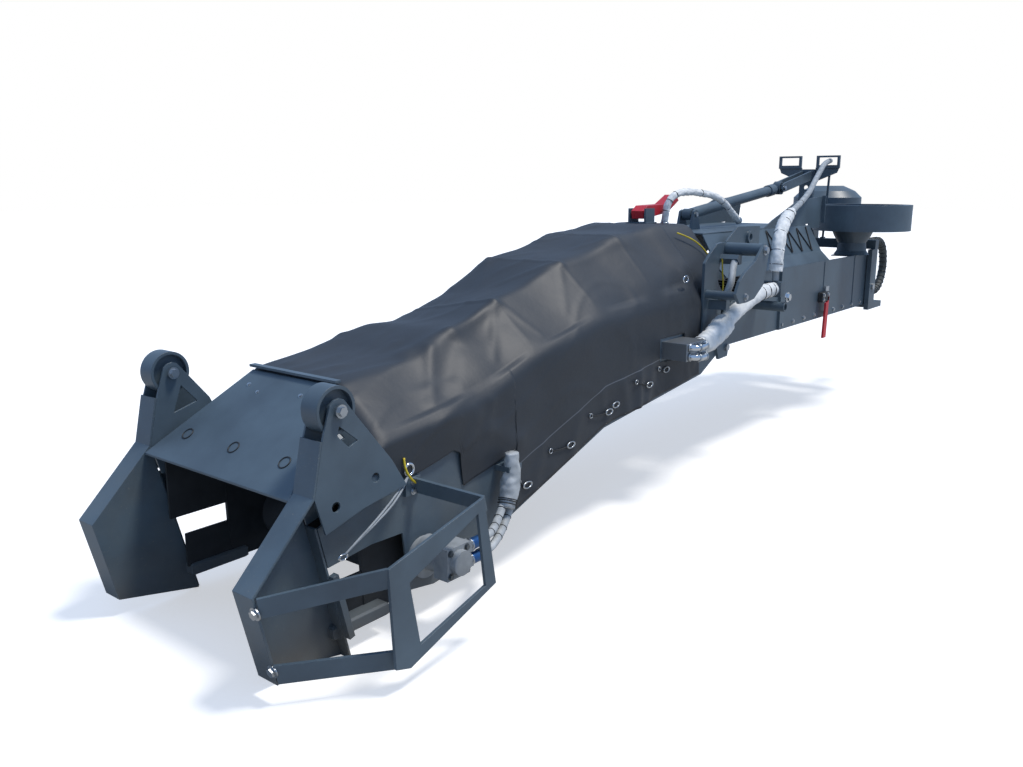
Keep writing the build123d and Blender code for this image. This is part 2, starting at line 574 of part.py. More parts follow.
def hood():
    """The discharge hood, its wings and the roller forks."""
    edge = WING_IN - SEAT
    (lx, lz), (tx, tz) = HOOD_LOW, HOOD_TOP
    plate = facet([(tx, -HOOD_TOP_HALF, tz), (tx, HOOD_TOP_HALF, tz), (lx, edge, lz), (lx, -edge, lz)], 9)
    for s in (1, -1):
        plate += facet([(tx, s * HOOD_TOP_HALF, tz), (tx, s * edge, HOOD_FACET_Z), (lx, s * edge, lz)], 9)
    keep("hood_plate", plate)

    web_pts = [(6200, -290), (5945, -35), (5910, -160), (5780, -690), (6124, -620)]
    strip = slab([(6200, -290), (5945, -35), (5904, 150), (5896, 148), (5938, -40), (6190, -292), (6116, -617),
                  (6124, -620)], WING_IN, WING_OUT)
    flange = slab([(5910, -160), (5780, -690), (5772, -688), (5902, -158)], WING_IN + SHEET, SIDE_OUT + 5)
    clip = slab([(5860, -345), (5797, -600), (5773, -594), (5836, -339)], SIDE_OUT + 5, SIDE_OUT + 30)
    wing = slab(web_pts, WING_IN, WING_IN + SHEET) + strip + flange + clip
    keep("wing_near", wing)
    keep("wing_far", far(wing))

    eye = eye_arc(ROLLER_X, ROLLER_Z, FORK_EYE_R, 5, 155, 5)
    window = slab([(5823, 187), (5743, 121), (5783, 105), (5831, 153)], WING_OUT - 20, WING_OUT + 20)
    outer = slab([(5937.6, -41), (5895.6, 147), *eye, (5746, 208), (5590, 17), (5520, -95), (5734, -128), (5898, -174)],
                 WING_OUT - SHEET, WING_OUT) - window
    for x, z in ((5669, -31), (5850, -88)):
        outer -= bar_y(x, z, 18, WING_OUT - 20, WING_OUT + 20)
    window = slab([(5788, 183), (5720, 107), (5828, 76)], WING_IN - 20, WING_IN + 20)
    inner = slab([(5937.6, -41), (5895.6, 147), *eye, (5750, 216), (5663, 112), (5640, 60), (5700, -100), (5900, -160)],
                 WING_IN, WING_IN + SHEET) - window
    bore = bar_y(ROLLER_X, ROLLER_Z, ROLLER_PIN_R, WING_IN - 40, WING_OUT + 40)
    tie = block(5650, 5710, WING_IN + SHEET, WING_OUT - SHEET, -60, -30)
    spacer = block(5590, 5680, SIDE_OUT + SEAT, WING_OUT - SHEET, -115, -75)
    fork = (outer - bore) + (inner - bore) + tie + spacer
    keep("roller_fork_near", fork)
    keep("roller_fork_far", far(fork))


def drive():
    """The belt motor with its guard frame on the near side."""
    seat_y = SIDE_OUT + 30
    body_z = HEAD_Z + MOTOR_RISE
    motor = bar_y(HEAD_X, HEAD_Z, 80, SIDE_OUT, seat_y)
    motor += bar_y(HEAD_X, body_z, 66, seat_y - 6, seat_y + 90)
    motor += block(HEAD_X - 62, HEAD_X + 62, seat_y + 90, seat_y + 160, body_z - 62, body_z + 62)
    motor += bar_y(HEAD_X, body_z, 48, seat_y + 160, seat_y + 185)
    for z in (PORT_A_Z, PORT_B_Z):
        motor += block(PORT_X, HEAD_X - 62, seat_y + 105, seat_y + 145, z - 20, z + 20)
    keep("drive_motor", motor)

    plane_y = GUARD_Y
    outline = [(5871, -231), (5850, -592), (5784, -613), (5339, -465), (5403, -118)]
    window = [(5780, -308), (5735, -548), (5397, -456), (5435, -169)]
    frame = slab(outline, plane_y - GUARD_T, plane_y) - slab(window, plane_y - GUARD_T - 9, plane_y + 9)
    y0, y1 = WING_OUT + SEAT + 0.78 * GUARD_T, plane_y - GUARD_T / 2
    top_arm = panel((6190, y0, -292), (5871, y1, -231), (5856, y1, -301), (6175, y0, -362), GUARD_T)
    low_arm = panel((6143, y0, -540), (5800, y1, -543), (5785, y1, -613), (6128, y0, -610), GUARD_T)
    foot_y = SIDE_OUT + SEAT
    back_arm = panel((5403, y1, -118), (5455, foot_y + 8, -95), (5440, foot_y + 8, -155), (5388, y1, -178), GUARD_T)
    foot = block(5415, 5490, foot_y, foot_y + 14, -160, -92)
    keep("motor_guard", frame + top_arm + low_arm + back_arm + foot)


def rollers():
    """The two guide rollers on the hood's forks, each dished on both sides."""
    for name, s in (("near", 1), ("far", -1)):
        y0 = WING_IN + SHEET + ROLLER_GAP
        y1 = WING_OUT - SHEET - ROLLER_GAP
        hub_r = ROLLER_PIN_R + HUB_WALL
        roller = tube_y(ROLLER_X, ROLLER_Z, ROLLER_R, ROLLER_PIN_R + 0.05, y0, y1)
        for side, depth in ((y0, DISH_DEPTH), (y1, -DISH_DEPTH)):
            roller -= tube_y(ROLLER_X, ROLLER_Z, ROLLER_R - DISH_RIM, hub_r, side, side + depth)
        pin = bar_y(ROLLER_X, ROLLER_Z, ROLLER_PIN_R, WING_IN - 12, WING_OUT + 14)
        keep("guide_roller_" + name, roller if s > 0 else far(roller))
        keep("roller_pin_" + name, pin if s > 0 else far(pin))


def hose(name, diameter, points):
    """A hose along its route: straight runs with a round turn at each point."""
    pts = [Vector(*point) for point in points]
    radii = []
    for a, b, c in zip(pts, pts[1:], pts[2:]):
        half_turn = radians((b - a).get_angle(c - b)) / 2
        radii.append(0.45 * min((b - a).length, (c - b).length) / tan(half_turn))
    path = FilletPolyline(*pts, radius=radii)
    section = Plane(origin=path @ 0, z_dir=path % 0) * Circle(diameter / 2)
    tube = sweep(section, path=path)
    keep(name, tube)
    share = tube.volume / (pi * diameter ** 2 / 4 * path.length)
    print(name, "length", round(path.length), "radii", [round(r) for r in radii], "volume", round(share, 3))


# Hoses: name, diameter and the points of each route
HOSES = [
    ("hose_bundle", 90, [(HOSE_PORT_X - SEAT, 592, 123), (3300, 592, 123), (3200, 592, 152), (3030, 593, 228),
                         (2845, 595, 293), (2660, 597, 336), (2555, 598, 345), (HOSE_BLOCK_X + SEAT, 598, 345)]),
    ("hose_arch", 40, [(3000.2, 598, 545.8), (3030, 598, 516), (3062, 598, 478), (3088, 598, 437),
                       (3103, 598, 392), (3103, 598, 343 + SEAT)]),
    ("hose_motor_a", 34, [(4948, 556, SPLIT_Z - SEAT), (4948, 556, -225), (4959, 557, -274), (4988, 565, -319),
                          (5034, 580, -354), (5090, 606, -371), (5155, 638, -373), (5228, 655, PORT_A_Z),
                          (PORT_X - SEAT, 655, PORT_A_Z)]),
    ("hose_motor_b", 34, [(4906, 556, SPLIT_Z - SEAT), (4906, 556, -250), (4921, 558, -312), (4961, 568, -367),
                          (5021, 590, -404), (5091, 617, -424), (5160, 642, -431), (5230, 655, PORT_B_Z),
                          (PORT_X - SEAT, 655, PORT_B_Z)]),
    ("hose_mast", 40, [(MAST_X0 - 40, 150, 1148), (560, 165, 1132), (750, 205, 1063), (1000, 262, 985),
                       (1300, 340, 905), (1650, 420, 840), (1950, 485, 795), (2180, 540, 750), (2330, 575, 680),
                       (2400, 595, 590), (2422, 600, 490), (2425, 600, 391)]),
    ("hose_tail", 64, [(BEAM_X0 - SEAT, TAIL_HOSE_Y, 506), (175, TAIL_HOSE_Y, 506), (59, TAIL_HOSE_Y, 508),
                       (-57, TAIL_HOSE_Y, 509), (-173, TAIL_HOSE_Y, 506), (-268, TAIL_HOSE_Y, 451),
                       (-322, TAIL_HOSE_Y, 356), (-322, TAIL_HOSE_Y, 247), (-268, TAIL_HOSE_Y, 152),
                       (-173, TAIL_HOSE_Y, 98), (-78, TAIL_HOSE_Y, 95), (16, TAIL_HOSE_Y, 97),
                       (110 - SEAT, TAIL_HOSE_Y, 97)]),
]


def lock():
    """The red lock link over the fold."""
    base = ARCH_TOP + SEAT
    foot = block(2960, 3060, -60, -48, base, 830) + block(2960, 3060, 48, 60, base, 830)
    bracket = block(2950, 3070, -70, 70, base, base + 8) + foot
    bracket += bar_y(LOCK_X, LOCK_Z, LOCK_PIN_R, -60, 60)
    link = slab([(3050, 770), (3060, 815), (3010, 845), (2790, 850), (2670, 905), (2640, 870), (2770, 800)], -40, 40)
    link -= bar_y(LOCK_X, LOCK_Z, LOCK_PIN_R + 0.1, -100, 100)
    keep("lock_bracket", bracket)
    keep("lock_link", link)


slew_bracket()
rear_section()
luffing_cylinder()
front_section()
for route in HOSES:
    hose(*route)

os.makedirs("parts", exist_ok=True)
for node, solid in parts.items():
    export_step(solid, f"parts/{node}.step")
print(len(parts), "nodes")
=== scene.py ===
"""Looks of a cold planer's folding discharge conveyor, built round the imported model.

Metres, +Z up, +X towards the discharge end, +Y the side of the drive motor.
"""
import json
import math

import bmesh
import bpy
from mathutils import Matrix, Vector, noise


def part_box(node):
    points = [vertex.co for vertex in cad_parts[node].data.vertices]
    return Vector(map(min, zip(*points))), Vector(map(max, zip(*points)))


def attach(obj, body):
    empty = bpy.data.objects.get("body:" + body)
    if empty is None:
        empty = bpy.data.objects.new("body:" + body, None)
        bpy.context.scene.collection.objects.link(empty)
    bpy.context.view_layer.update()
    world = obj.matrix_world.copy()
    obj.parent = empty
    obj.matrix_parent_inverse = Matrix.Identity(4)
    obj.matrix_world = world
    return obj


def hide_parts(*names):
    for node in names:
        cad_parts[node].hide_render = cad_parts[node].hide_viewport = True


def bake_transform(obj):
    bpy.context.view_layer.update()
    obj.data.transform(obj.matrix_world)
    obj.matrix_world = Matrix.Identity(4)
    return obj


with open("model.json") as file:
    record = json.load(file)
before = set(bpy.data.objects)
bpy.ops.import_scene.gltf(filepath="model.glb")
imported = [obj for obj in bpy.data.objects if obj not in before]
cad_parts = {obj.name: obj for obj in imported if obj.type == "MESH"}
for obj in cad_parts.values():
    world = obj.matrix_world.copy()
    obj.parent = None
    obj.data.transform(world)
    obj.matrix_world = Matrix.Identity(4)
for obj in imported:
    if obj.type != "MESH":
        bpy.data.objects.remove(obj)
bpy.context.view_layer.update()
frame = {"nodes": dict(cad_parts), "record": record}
NODES = frame["nodes"]

# The camera of the photograph: place, heading, tilt and roll in degrees, and lens on a 36 mm sensor
CAMERA_AT = (7.7202, 2.8098, 0.9646)
CAMERA_HEADING = 128.85
CAMERA_TILT = 12.35
CAMERA_ROLL = -0.07
LENS_MM = 31.913

FLOOR_Z = -0.690
# The tarpaulin's seam above its hem, and the thickness of both sheets
SEAM_RISE = 0.190
SHEET_THICKNESS = 0.0015
# How far the enamel is rubbed thin from an edge
RUBBED_EDGE = 0.003
# Crossed threads: a wave pattern of scale one has its bands this far apart, in metres
BAND_PITCH = 0.314
# The conveyor's two sides, with the way that each faces along Y
SIDES = (("near", 1), ("far", -1))


def linear(hex_code):
    """A colour written in sRGB hex, as the linear values that a shader takes."""
    channels = [int(hex_code[i:i + 2], 16) / 255 for i in (1, 3, 5)]
    return [c / 12.92 if c <= 0.04045 else ((c + 0.055) / 1.055) ** 2.4 for c in channels] + [1.0]


def add_node(tree, kind, settings=None, links=None):
    """One node: settings are its properties, its sockets' values or a ramp's stops.

    Links feed its sockets, each from a socket or from the first output of a node.
    """
    node = tree.nodes.new(kind)
    for name, value in (settings or {}).items():
        if name == "Stops":
            for element, (position, hex_code) in zip(node.color_ramp.elements, value):
                element.position = position
                element.color = linear(hex_code)
        elif isinstance(name, int) or name in node.inputs:
            node.inputs[name].default_value = value
        else:
            setattr(node, name, value)
    for name, source in (links or {}).items():
        socket = source if isinstance(source, bpy.types.NodeSocket) else source.outputs[0]
        tree.links.new(socket, node.inputs[name])
    return node


def empty_tree(owner):
    """The node tree of a material or a world, emptied."""
    owner.use_nodes = True
    owner.node_tree.nodes.clear()
    return owner.node_tree


def painted_steel(name, light, dark, worn="#7d8489", dusty=False, bare=()):
    """Two-pack enamel sprayed wet on plate: satin, faint orange peel, paler where its edges have rubbed.

    Dusty adds a grey film, pale specks and brown low down. Bare holds the tests (operation, limit, axis) of
    where the zinc was left unpainted.
    """
    material = bpy.data.materials.new(name)
    tree = empty_tree(material)
    place = add_node(tree, "ShaderNodeTexCoord").outputs["Object"]
    axes = add_node(tree, "ShaderNodeSeparateXYZ", links={0: place}).outputs
    # Waves per metre, detail, roughness: fading 330 mm across, chips 17 mm, orange peel 3 mm, coarser than it
    # is so that it shows, then the film's patches 200 mm and the specks 11 mm
    grains = [(3.0, 4.0, 0.55), (60.0, 5.0, 0.70), (350.0, 2.0, 0.55)]
    if dusty:
        grains += [(5.0, 4.0, 0.55), (90.0, 6.0, 0.75)]
    cloud, chips, peel, *dust = [
        add_node(tree, "ShaderNodeTexNoise", {"Scale": scale, "Detail": detail, "Roughness": rough},
                 {"Vector": place}).outputs["Fac"] for scale, detail, rough in grains]
    rounded = add_node(tree, "ShaderNodeBevel", {"samples": 4, "Radius": RUBBED_EDGE})
    flat = add_node(tree, "ShaderNodeNewGeometry").outputs["Normal"]
    facing = add_node(tree, "ShaderNodeVectorMath", {"operation": "DOT_PRODUCT"}, {0: rounded, 1: flat})
    edges = add_node(tree, "ShaderNodeMapRange", {"From Min": 0.995, "From Max": 0.90},
                     {0: facing.outputs["Value"]})
    chipped = add_node(tree, "ShaderNodeMapRange", {"From Min": 0.52, "From Max": 0.66}, {0: chips})
    layers = [(add_node(tree, "ShaderNodeMath", {"operation": "MULTIPLY"}, {0: edges, 1: chipped}), worn)]
    if dusty:
        film, specks = dust
        # What a layer follows, where it starts and where it is full, its colour and its share
        for source, start, full, hex_code, share in (
                (film, 0.42, 0.80, "#6b6b64", 0.30), (specks, 0.60, 0.72, "#8f8b80", 0.45),
                (axes["Z"], -0.40, -0.66, "#6e6252", 0.40)):
            mask = add_node(tree, "ShaderNodeMapRange", {"From Min": start, "From Max": full}, {0: source})
            part = add_node(tree, "ShaderNodeMath", {"operation": "MULTIPLY", 1: share}, {0: mask})
            layers.append((part, hex_code))
    zone = None
    for operation, limit, axis in bare:
        test = add_node(tree, "ShaderNodeMath", {"operation": operation, 1: limit}, {0: axes[axis]})
        if zone:
            test = add_node(tree, "ShaderNodeMath", {"operation": "MULTIPLY"}, {0: zone, 1: test})
        zone = test
    if zone:
        layers.append((zone, "#a9aeb2"))
    coat = add_node(tree, "ShaderNodeValToRGB", {"Stops": ((0.35, dark), (0.68, light))}, {0: cloud})
    for mask, hex_code in layers:
        coat = add_node(tree, "ShaderNodeMix", {"data_type": "RGBA", "B": linear(hex_code)},
                        {"Factor": mask, "A": coat}).outputs["Result"]
    rough = add_node(tree, "ShaderNodeMapRange", {"To Min": 0.33, "To Max": 0.50}, {0: cloud})
    skin = add_node(tree, "ShaderNodeBump", {"Strength": 0.12, "Distance": 0.0004},
                    {"Height": peel, "Normal": rounded})
    links = {"Base Color": coat, "Roughness": rough, "Normal": skin}
    if zone:
        links["Metallic"] = zone
    shader = add_node(tree, "ShaderNodeBsdfPrincipled", links=links)
    add_node(tree, "ShaderNodeOutputMaterial", links={"Surface": shader})
    return material


def plain(name, hex_code, roughness, metallic, grain, depth, strength, second=None):
    """A moulded, cast or plated surface: its colour, or two near shades, its gloss and its own grain.

    The grain is in waves per metre: 300 has them 3.3 mm apart. Most real grain is finer than a millimetre, so
    it is drawn 1.4 to 8 mm apart, as coarse as it needs to be to show.
    """
    material = bpy.data.materials.new(name)
    tree = empty_tree(material)
    place = add_node(tree, "ShaderNodeTexCoord").outputs["Object"]
    cloud, fine = [
        add_node(tree, "ShaderNodeTexNoise", {"Scale": scale, "Detail": detail, "Roughness": 0.55},
                 {"Vector": place}).outputs["Fac"] for scale, detail in ((12.0, 4.0), (grain, 3.0))]
    rough = add_node(tree, "ShaderNodeMapRange", {"To Min": roughness - 0.06, "To Max": roughness + 0.08},
                     {0: cloud})
    skin = add_node(tree, "ShaderNodeBump", {"Strength": strength, "Distance": depth}, {"Height": fine})
    settings, links = {"Metallic": metallic}, {"Roughness": rough, "Normal": skin}
    if second:
        shades = ((0.35, hex_code), (0.7, second))
        links["Base Color"] = add_node(tree, "ShaderNodeValToRGB", {"Stops": shades}, {0: cloud})
    else:
        settings["Base Color"] = linear(hex_code)
    shader = add_node(tree, "ShaderNodeBsdfPrincipled", settings, links)
    add_node(tree, "ShaderNodeOutputMaterial", links={"Surface": shader})
    return material


def coated_tarpaulin(name, light, dark):
    """PVC coated onto polyester scrim: a smooth skin with a slight gloss, dusty patches and a welded seam."""
    material = bpy.data.materials.new(name)
    tree = empty_tree(material)
    place = add_node(tree, "ShaderNodeTexCoord").outputs["Object"]
    # Waves per metre, detail, roughness: dusty patches 450 mm across, soft dents 45 mm, and the scrim 2 mm,
    # which is coarser than it is so that it shows
    cloud, dents, scrim = [
        add_node(tree, "ShaderNodeTexNoise", {"Scale": scale, "Detail": detail, "Roughness": rough},
                 {"Vector": place}).outputs["Fac"]
        for scale, detail, rough in ((2.2, 5.0, 0.6), (22.0, 4.0, 0.6), (500.0, 2.0, 0.55))]
    colour = add_node(tree, "ShaderNodeValToRGB", {"Stops": ((0.32, dark), (0.7, light))}, {0: cloud})
    hem = add_node(tree, "ShaderNodeAttribute", {"attribute_name": "above_hem"}).outputs["Fac"]
    away = add_node(tree, "ShaderNodeMath", {"operation": "SUBTRACT", 1: SEAM_RISE}, {0: hem})
    width = add_node(tree, "ShaderNodeMath", {"operation": "ABSOLUTE"}, {0: away})
    line = add_node(tree, "ShaderNodeMapRange", {"From Min": 0.0035, "From Max": 0.0015}, {0: width})
    seam = add_node(tree, "ShaderNodeMix", {"data_type": "RGBA", "B": linear("#5b6067")},
                    {"Factor": line, "A": colour}).outputs["Result"]
    rough = add_node(tree, "ShaderNodeMapRange", {"To Min": 0.47, "To Max": 0.60}, {0: cloud})
    soft = add_node(tree, "ShaderNodeBump", {"Strength": 0.35, "Distance": 0.003}, {"Height": dents})
    skin = add_node(tree, "ShaderNodeBump", {"Strength": 0.15, "Distance": 0.0002},
                    {"Height": scrim, "Normal": soft})
    shader = add_node(tree, "ShaderNodeBsdfPrincipled",
                      links={"Base Color": seam, "Roughness": rough, "Normal": skin})
    add_node(tree, "ShaderNodeOutputMaterial", links={"Surface": shader})
    return material


def woven_sleeve(name, light, dark, thread=0.004):
    """Woven hose sleeve: crossed threads, drawn coarser than they are so that they show, over loose folds."""
    material = bpy.data.materials.new(name)
    tree = empty_tree(material)
    place = add_node(tree, "ShaderNodeUVMap")
    cloud = add_node(tree, "ShaderNodeTexNoise", {"Scale": 14.0, "Detail": 4.0},
                     {"Vector": place}).outputs["Fac"]
    colour = add_node(tree, "ShaderNodeValToRGB", {"Stops": ((0.3, dark), (0.65, light))}, {0: cloud})
    around, lengthways = [
        add_node(tree, "ShaderNodeTexWave",
                 {"wave_type": "BANDS", "bands_direction": direction, "Scale": BAND_PITCH / thread},
                 {"Vector": place}).outputs["Fac"] for direction in ("X", "Y")]
    threads = add_node(tree, "ShaderNodeMath", {"operation": "MULTIPLY"}, {0: around, 1: lengthways})
    folds = add_node(tree, "ShaderNodeBump", {"Strength": 0.5, "Distance": 0.006}, {"Height": cloud})
    skin = add_node(tree, "ShaderNodeBump", {"Strength": 0.5, "Distance": 0.0008},
                    {"Height": threads, "Normal": folds})
    shader = add_node(tree, "ShaderNodeBsdfPrincipled", {"Roughness": 0.62},
                      {"Base Color": colour, "Normal": skin})
    add_node(tree, "ShaderNodeOutputMaterial", links={"Surface": shader})
    return material


# Two-pack enamel, sprayed: an even satin slate, rubbed pale along its edges
SLATE_SHADES = ("#556570", "#46535d")
SLATE = painted_steel("slate_enamel", *SLATE_SHADES)
# The same enamel where dust settles: duller and browner towards the floor
DUSTY = painted_steel("slate_enamel_dusty", *SLATE_SHADES, dusty=True)
# The same again, with the port block's face left in zinc: a paler, metallic patch in the paint
PORT_FACE = (("GREATER_THAN", 3.38, "X"), ("LESS_THAN", 3.63, "X"), ("GREATER_THAN", 0.502, "Y"))
MANIFOLD = painted_steel("slate_enamel_with_zinc_port", *SLATE_SHADES, dusty=True, bare=PORT_FACE)
# Red enamel, sprayed: satin, rubbed to a dull red
RED = painted_steel("red_enamel", "#d22b36", "#b3202b", "#8c3a3a")
# Zinc, plated: a soft, cloudy grey shine
ZINC = plain("zinc_plated_steel", "#c3c7ca", 0.34, 1.0, 300.0, 0.0003, 0.2, "#a5aaae")
# Hard chrome, ground: a bright, clean mirror
CHROME = plain("hard_chrome", "#d5d9dd", 0.10, 1.0, 500.0, 0.0001, 0.05)
# Iron, sand cast and primed grey: matt and pebbled
CAST = plain("cast_iron_grey_primer", "#9a9fa2", 0.52, 0.0, 250.0, 0.0012, 0.5, "#7b8084")
# Polyamide, turned and scuffed in use: a dull, smooth grey tread
ROLLER = plain("worn_polyamide_tread", "#8b959c", 0.5, 0.0, 120.0, 0.0005, 0.2, "#6f7a82")
# Steel, rolled and worn by the belt: a dark, uneven shine
STEEL = plain("worn_drum_steel", "#7b8083", 0.42, 0.9, 120.0, 0.0006, 0.3, "#5e6366")
# Belt rubber, pressed: nearly black and chalky
RUBBER = plain("belt_rubber", "#26282a", 0.72, 0.0, 300.0, 0.0008, 0.4, "#323436")
# Hose rubber, extruded: black with a dull sheen
HOSE_RUBBER = plain("hose_rubber", "#1f2123", 0.5, 0.0, 400.0, 0.0004, 0.3, "#2b2d30")
# Polyester, braided: black and fuzzy, with no shine
CORD_BLACK = plain("braided_polyester_cord", "#1c1d1f", 0.7, 0.0, 700.0, 0.0004, 0.5, "#2a2b2d")
# PVC, extruded: a smooth yellow with dirty stretches
YELLOW = plain("yellow_pvc_cable", "#d9c22e", 0.45, 0.0, 300.0, 0.0002, 0.1, "#b89f22")
# Aluminium, turned and anodised blue: a clear colour with a metal's shine
BLUE = plain("blue_anodised_fitting", "#2f5f96", 0.3, 0.6, 300.0, 0.0002, 0.1, "#284f80")
# Aluminium, rolled and left bare: a light, even grey
PLATE_GREY = plain("bare_aluminium_plate", "#c9ced3", 0.4, 0.4, 300.0, 0.0002, 0.1)
# Tarpaulin, PVC coated: nearly black, with broad soft lights on its folds
TARP = coated_tarpaulin("pvc_coated_tarpaulin", "#30353b", "#282c31")
# Glass fibre, woven: pale and matt, with rows of small lights on its threads
SLEEVE = woven_sleeve("woven_glass_sleeve", "#bcc0c2", "#8e9396")
# The same, nearly white: the sleeve is pale, and it is lightened further as painted light for strong sun on
# it
SLEEVE_PALE_AND_LIT = woven_sleeve("pale_glass_sleeve_with_painted_light", "#f0f0ee", "#c6caca")
# Nylon, woven: dark and matt
SLEEVE_DARK = woven_sleeve("woven_nylon_sleeve", "#4d524f", "#34383a")
# Textile yarn, braided over a hose: a finer grey weave
BRAID = woven_sleeve("braided_hose_cover", "#a9aeb1", "#858b8f", 0.003)

FINISHES = {
    "slate_paint": SLATE, "tarpaulin": TARP, "belt_rubber": RUBBER, "zinc": ZINC, "chrome_rod": CHROME,
    "red_paint": RED, "cast_motor": CAST, "drum_steel": STEEL, "roller_rubber": ROLLER, "hose_sleeve": SLEEVE,
}
NODE_FINISHES = {"wing_near": DUSTY, "wing_far": DUSTY, "front_frame": MANIFOLD}


def finish_nodes():
    """Gives each piece of the frame the finish that its material slot names."""
    for entry in frame["record"]["subparts"]:
        node = NODES[entry["node"]]
        node.data.materials.clear()
        node.data.materials.append(NODE_FINISHES.get(entry["node"], FINISHES[entry["material_slot"]]))


def add_piece(name, points, faces, finish, body=None, smooth=True):
    """A mesh piece in place, with its finish, riding on a body."""
    mesh = bpy.data.meshes.new(name)
    mesh.from_pydata([tuple(p) for p in points], [], faces)
    mesh.materials.append(finish)
    mesh.polygons.foreach_set("use_smooth", [smooth] * len(mesh.polygons))
    piece = bpy.data.objects.new(name, mesh)
    bpy.context.scene.collection.objects.link(piece)
    if body:
        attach(piece, body)
    return piece


# The conveyor's lines, in metres: the belt's top face, the side rails under it and the fabric's hem on them
FOLD_X = 2.880
KINK_X = 4.140
BELT_HIGH = 0.250
MID_SLOPE = math.tan(math.radians(6.0))
FRONT_SLOPE = math.tan(math.radians(18.3))
RAIL_DROP = 0.300
RAIL_RISE = 0.045
# Beyond these distances from the middle the fabric is on its side: for its hem, and for its sag
SIDE_FROM = 0.450
SAG_TO = 0.470
# The short sheet over the fold's arch, from its rear hoop to its front one
ARCH_REAR = 2.895
ARCH_FRONT = 3.188
HEM_RISE = 0.015


def belt_top(x):
    """Height of the belt's top face along the conveyor."""
    middle = min(max(x - FOLD_X, 0.0), KINK_X - FOLD_X)
    return BELT_HIGH - middle * MID_SLOPE - max(x - KINK_X, 0.0) * FRONT_SLOPE


def along(table, x, column, ease=0.03):
    """A column of the table at x, straight between its rows and eased over a short length."""
    total = 0.0
    for shift in (-1.0, -0.5, 0.0, 0.5, 1.0):
        at = x + shift * ease
        for low, high in zip(table, table[1:]):
            if at <= high[0] or high is table[-1]:
                part = min(1.0, max(0.0, (at - low[0]) / (high[0] - low[0])))
                total += low[column] + (high[column] - low[column]) * part
                break
    return total / 5


# The tarpaulin over its hoops: x, top, half width of the top, far side's drop, slope and side heights
TARP_ROWS = (
    (3.190, 0.750, 0.230, 0.000, 0.520, 0.345),
    (3.307, 0.745, 0.230, 0.000, 0.515, 0.345),
    (3.641, 0.704, 0.225, 0.000, 0.470, 0.345),
    (4.145, 0.601, 0.230, 0.000, 0.415, 0.341),
    (4.365, 0.543, 0.230, 0.027, 0.366, 0.297),
    (4.480, 0.513, 0.230, 0.060, 0.341, 0.275),
    (4.650, 0.468, 0.230, 0.079, 0.303, 0.241),
    (4.800, 0.425, 0.245, 0.055, 0.263, 0.191),
    (4.980, 0.375, 0.262, 0.024, 0.215, 0.131),
    (5.210, 0.300, 0.270, -0.008, 0.165, 0.095),
    (5.582, 0.248, 0.250, 0.000, 0.130, 0.060),
    (5.600, 0.212, 0.250, 0.000, 0.105, 0.045),
    (5.690, 0.100, 0.250, 0.000, 0.010, -0.045),
)
SLOPE_Y = 0.430
TARP_SIDE = 0.504
HOOPS = (3.190, 3.641, 4.145, 4.650, 4.985, 5.582, 5.700)
# The hem where it rises over the rail towards the hood
FRONT_HEM = (
    (4.834, -0.190), (4.846, -0.131), (4.926, -0.148), (5.079, -0.181), (5.165, -0.204),
    (5.190, -0.060), (5.228, -0.040), (5.425, -0.085), (5.582, -0.085), (5.690, -0.085),
)
# The share of its height that a fold keeps, and the share of that it has lost at its end
FOLD_SHARE = 0.65
FOLD_FADE = 0.35
# Between two hoops: the sag on top, the belly at the sides, wrinkles and creases, and how far the hem flaps
SAG = 0.013
BELLY = 0.004
WRINKLE = 0.0045
CREASE = 0.003
FLAP = 0.007
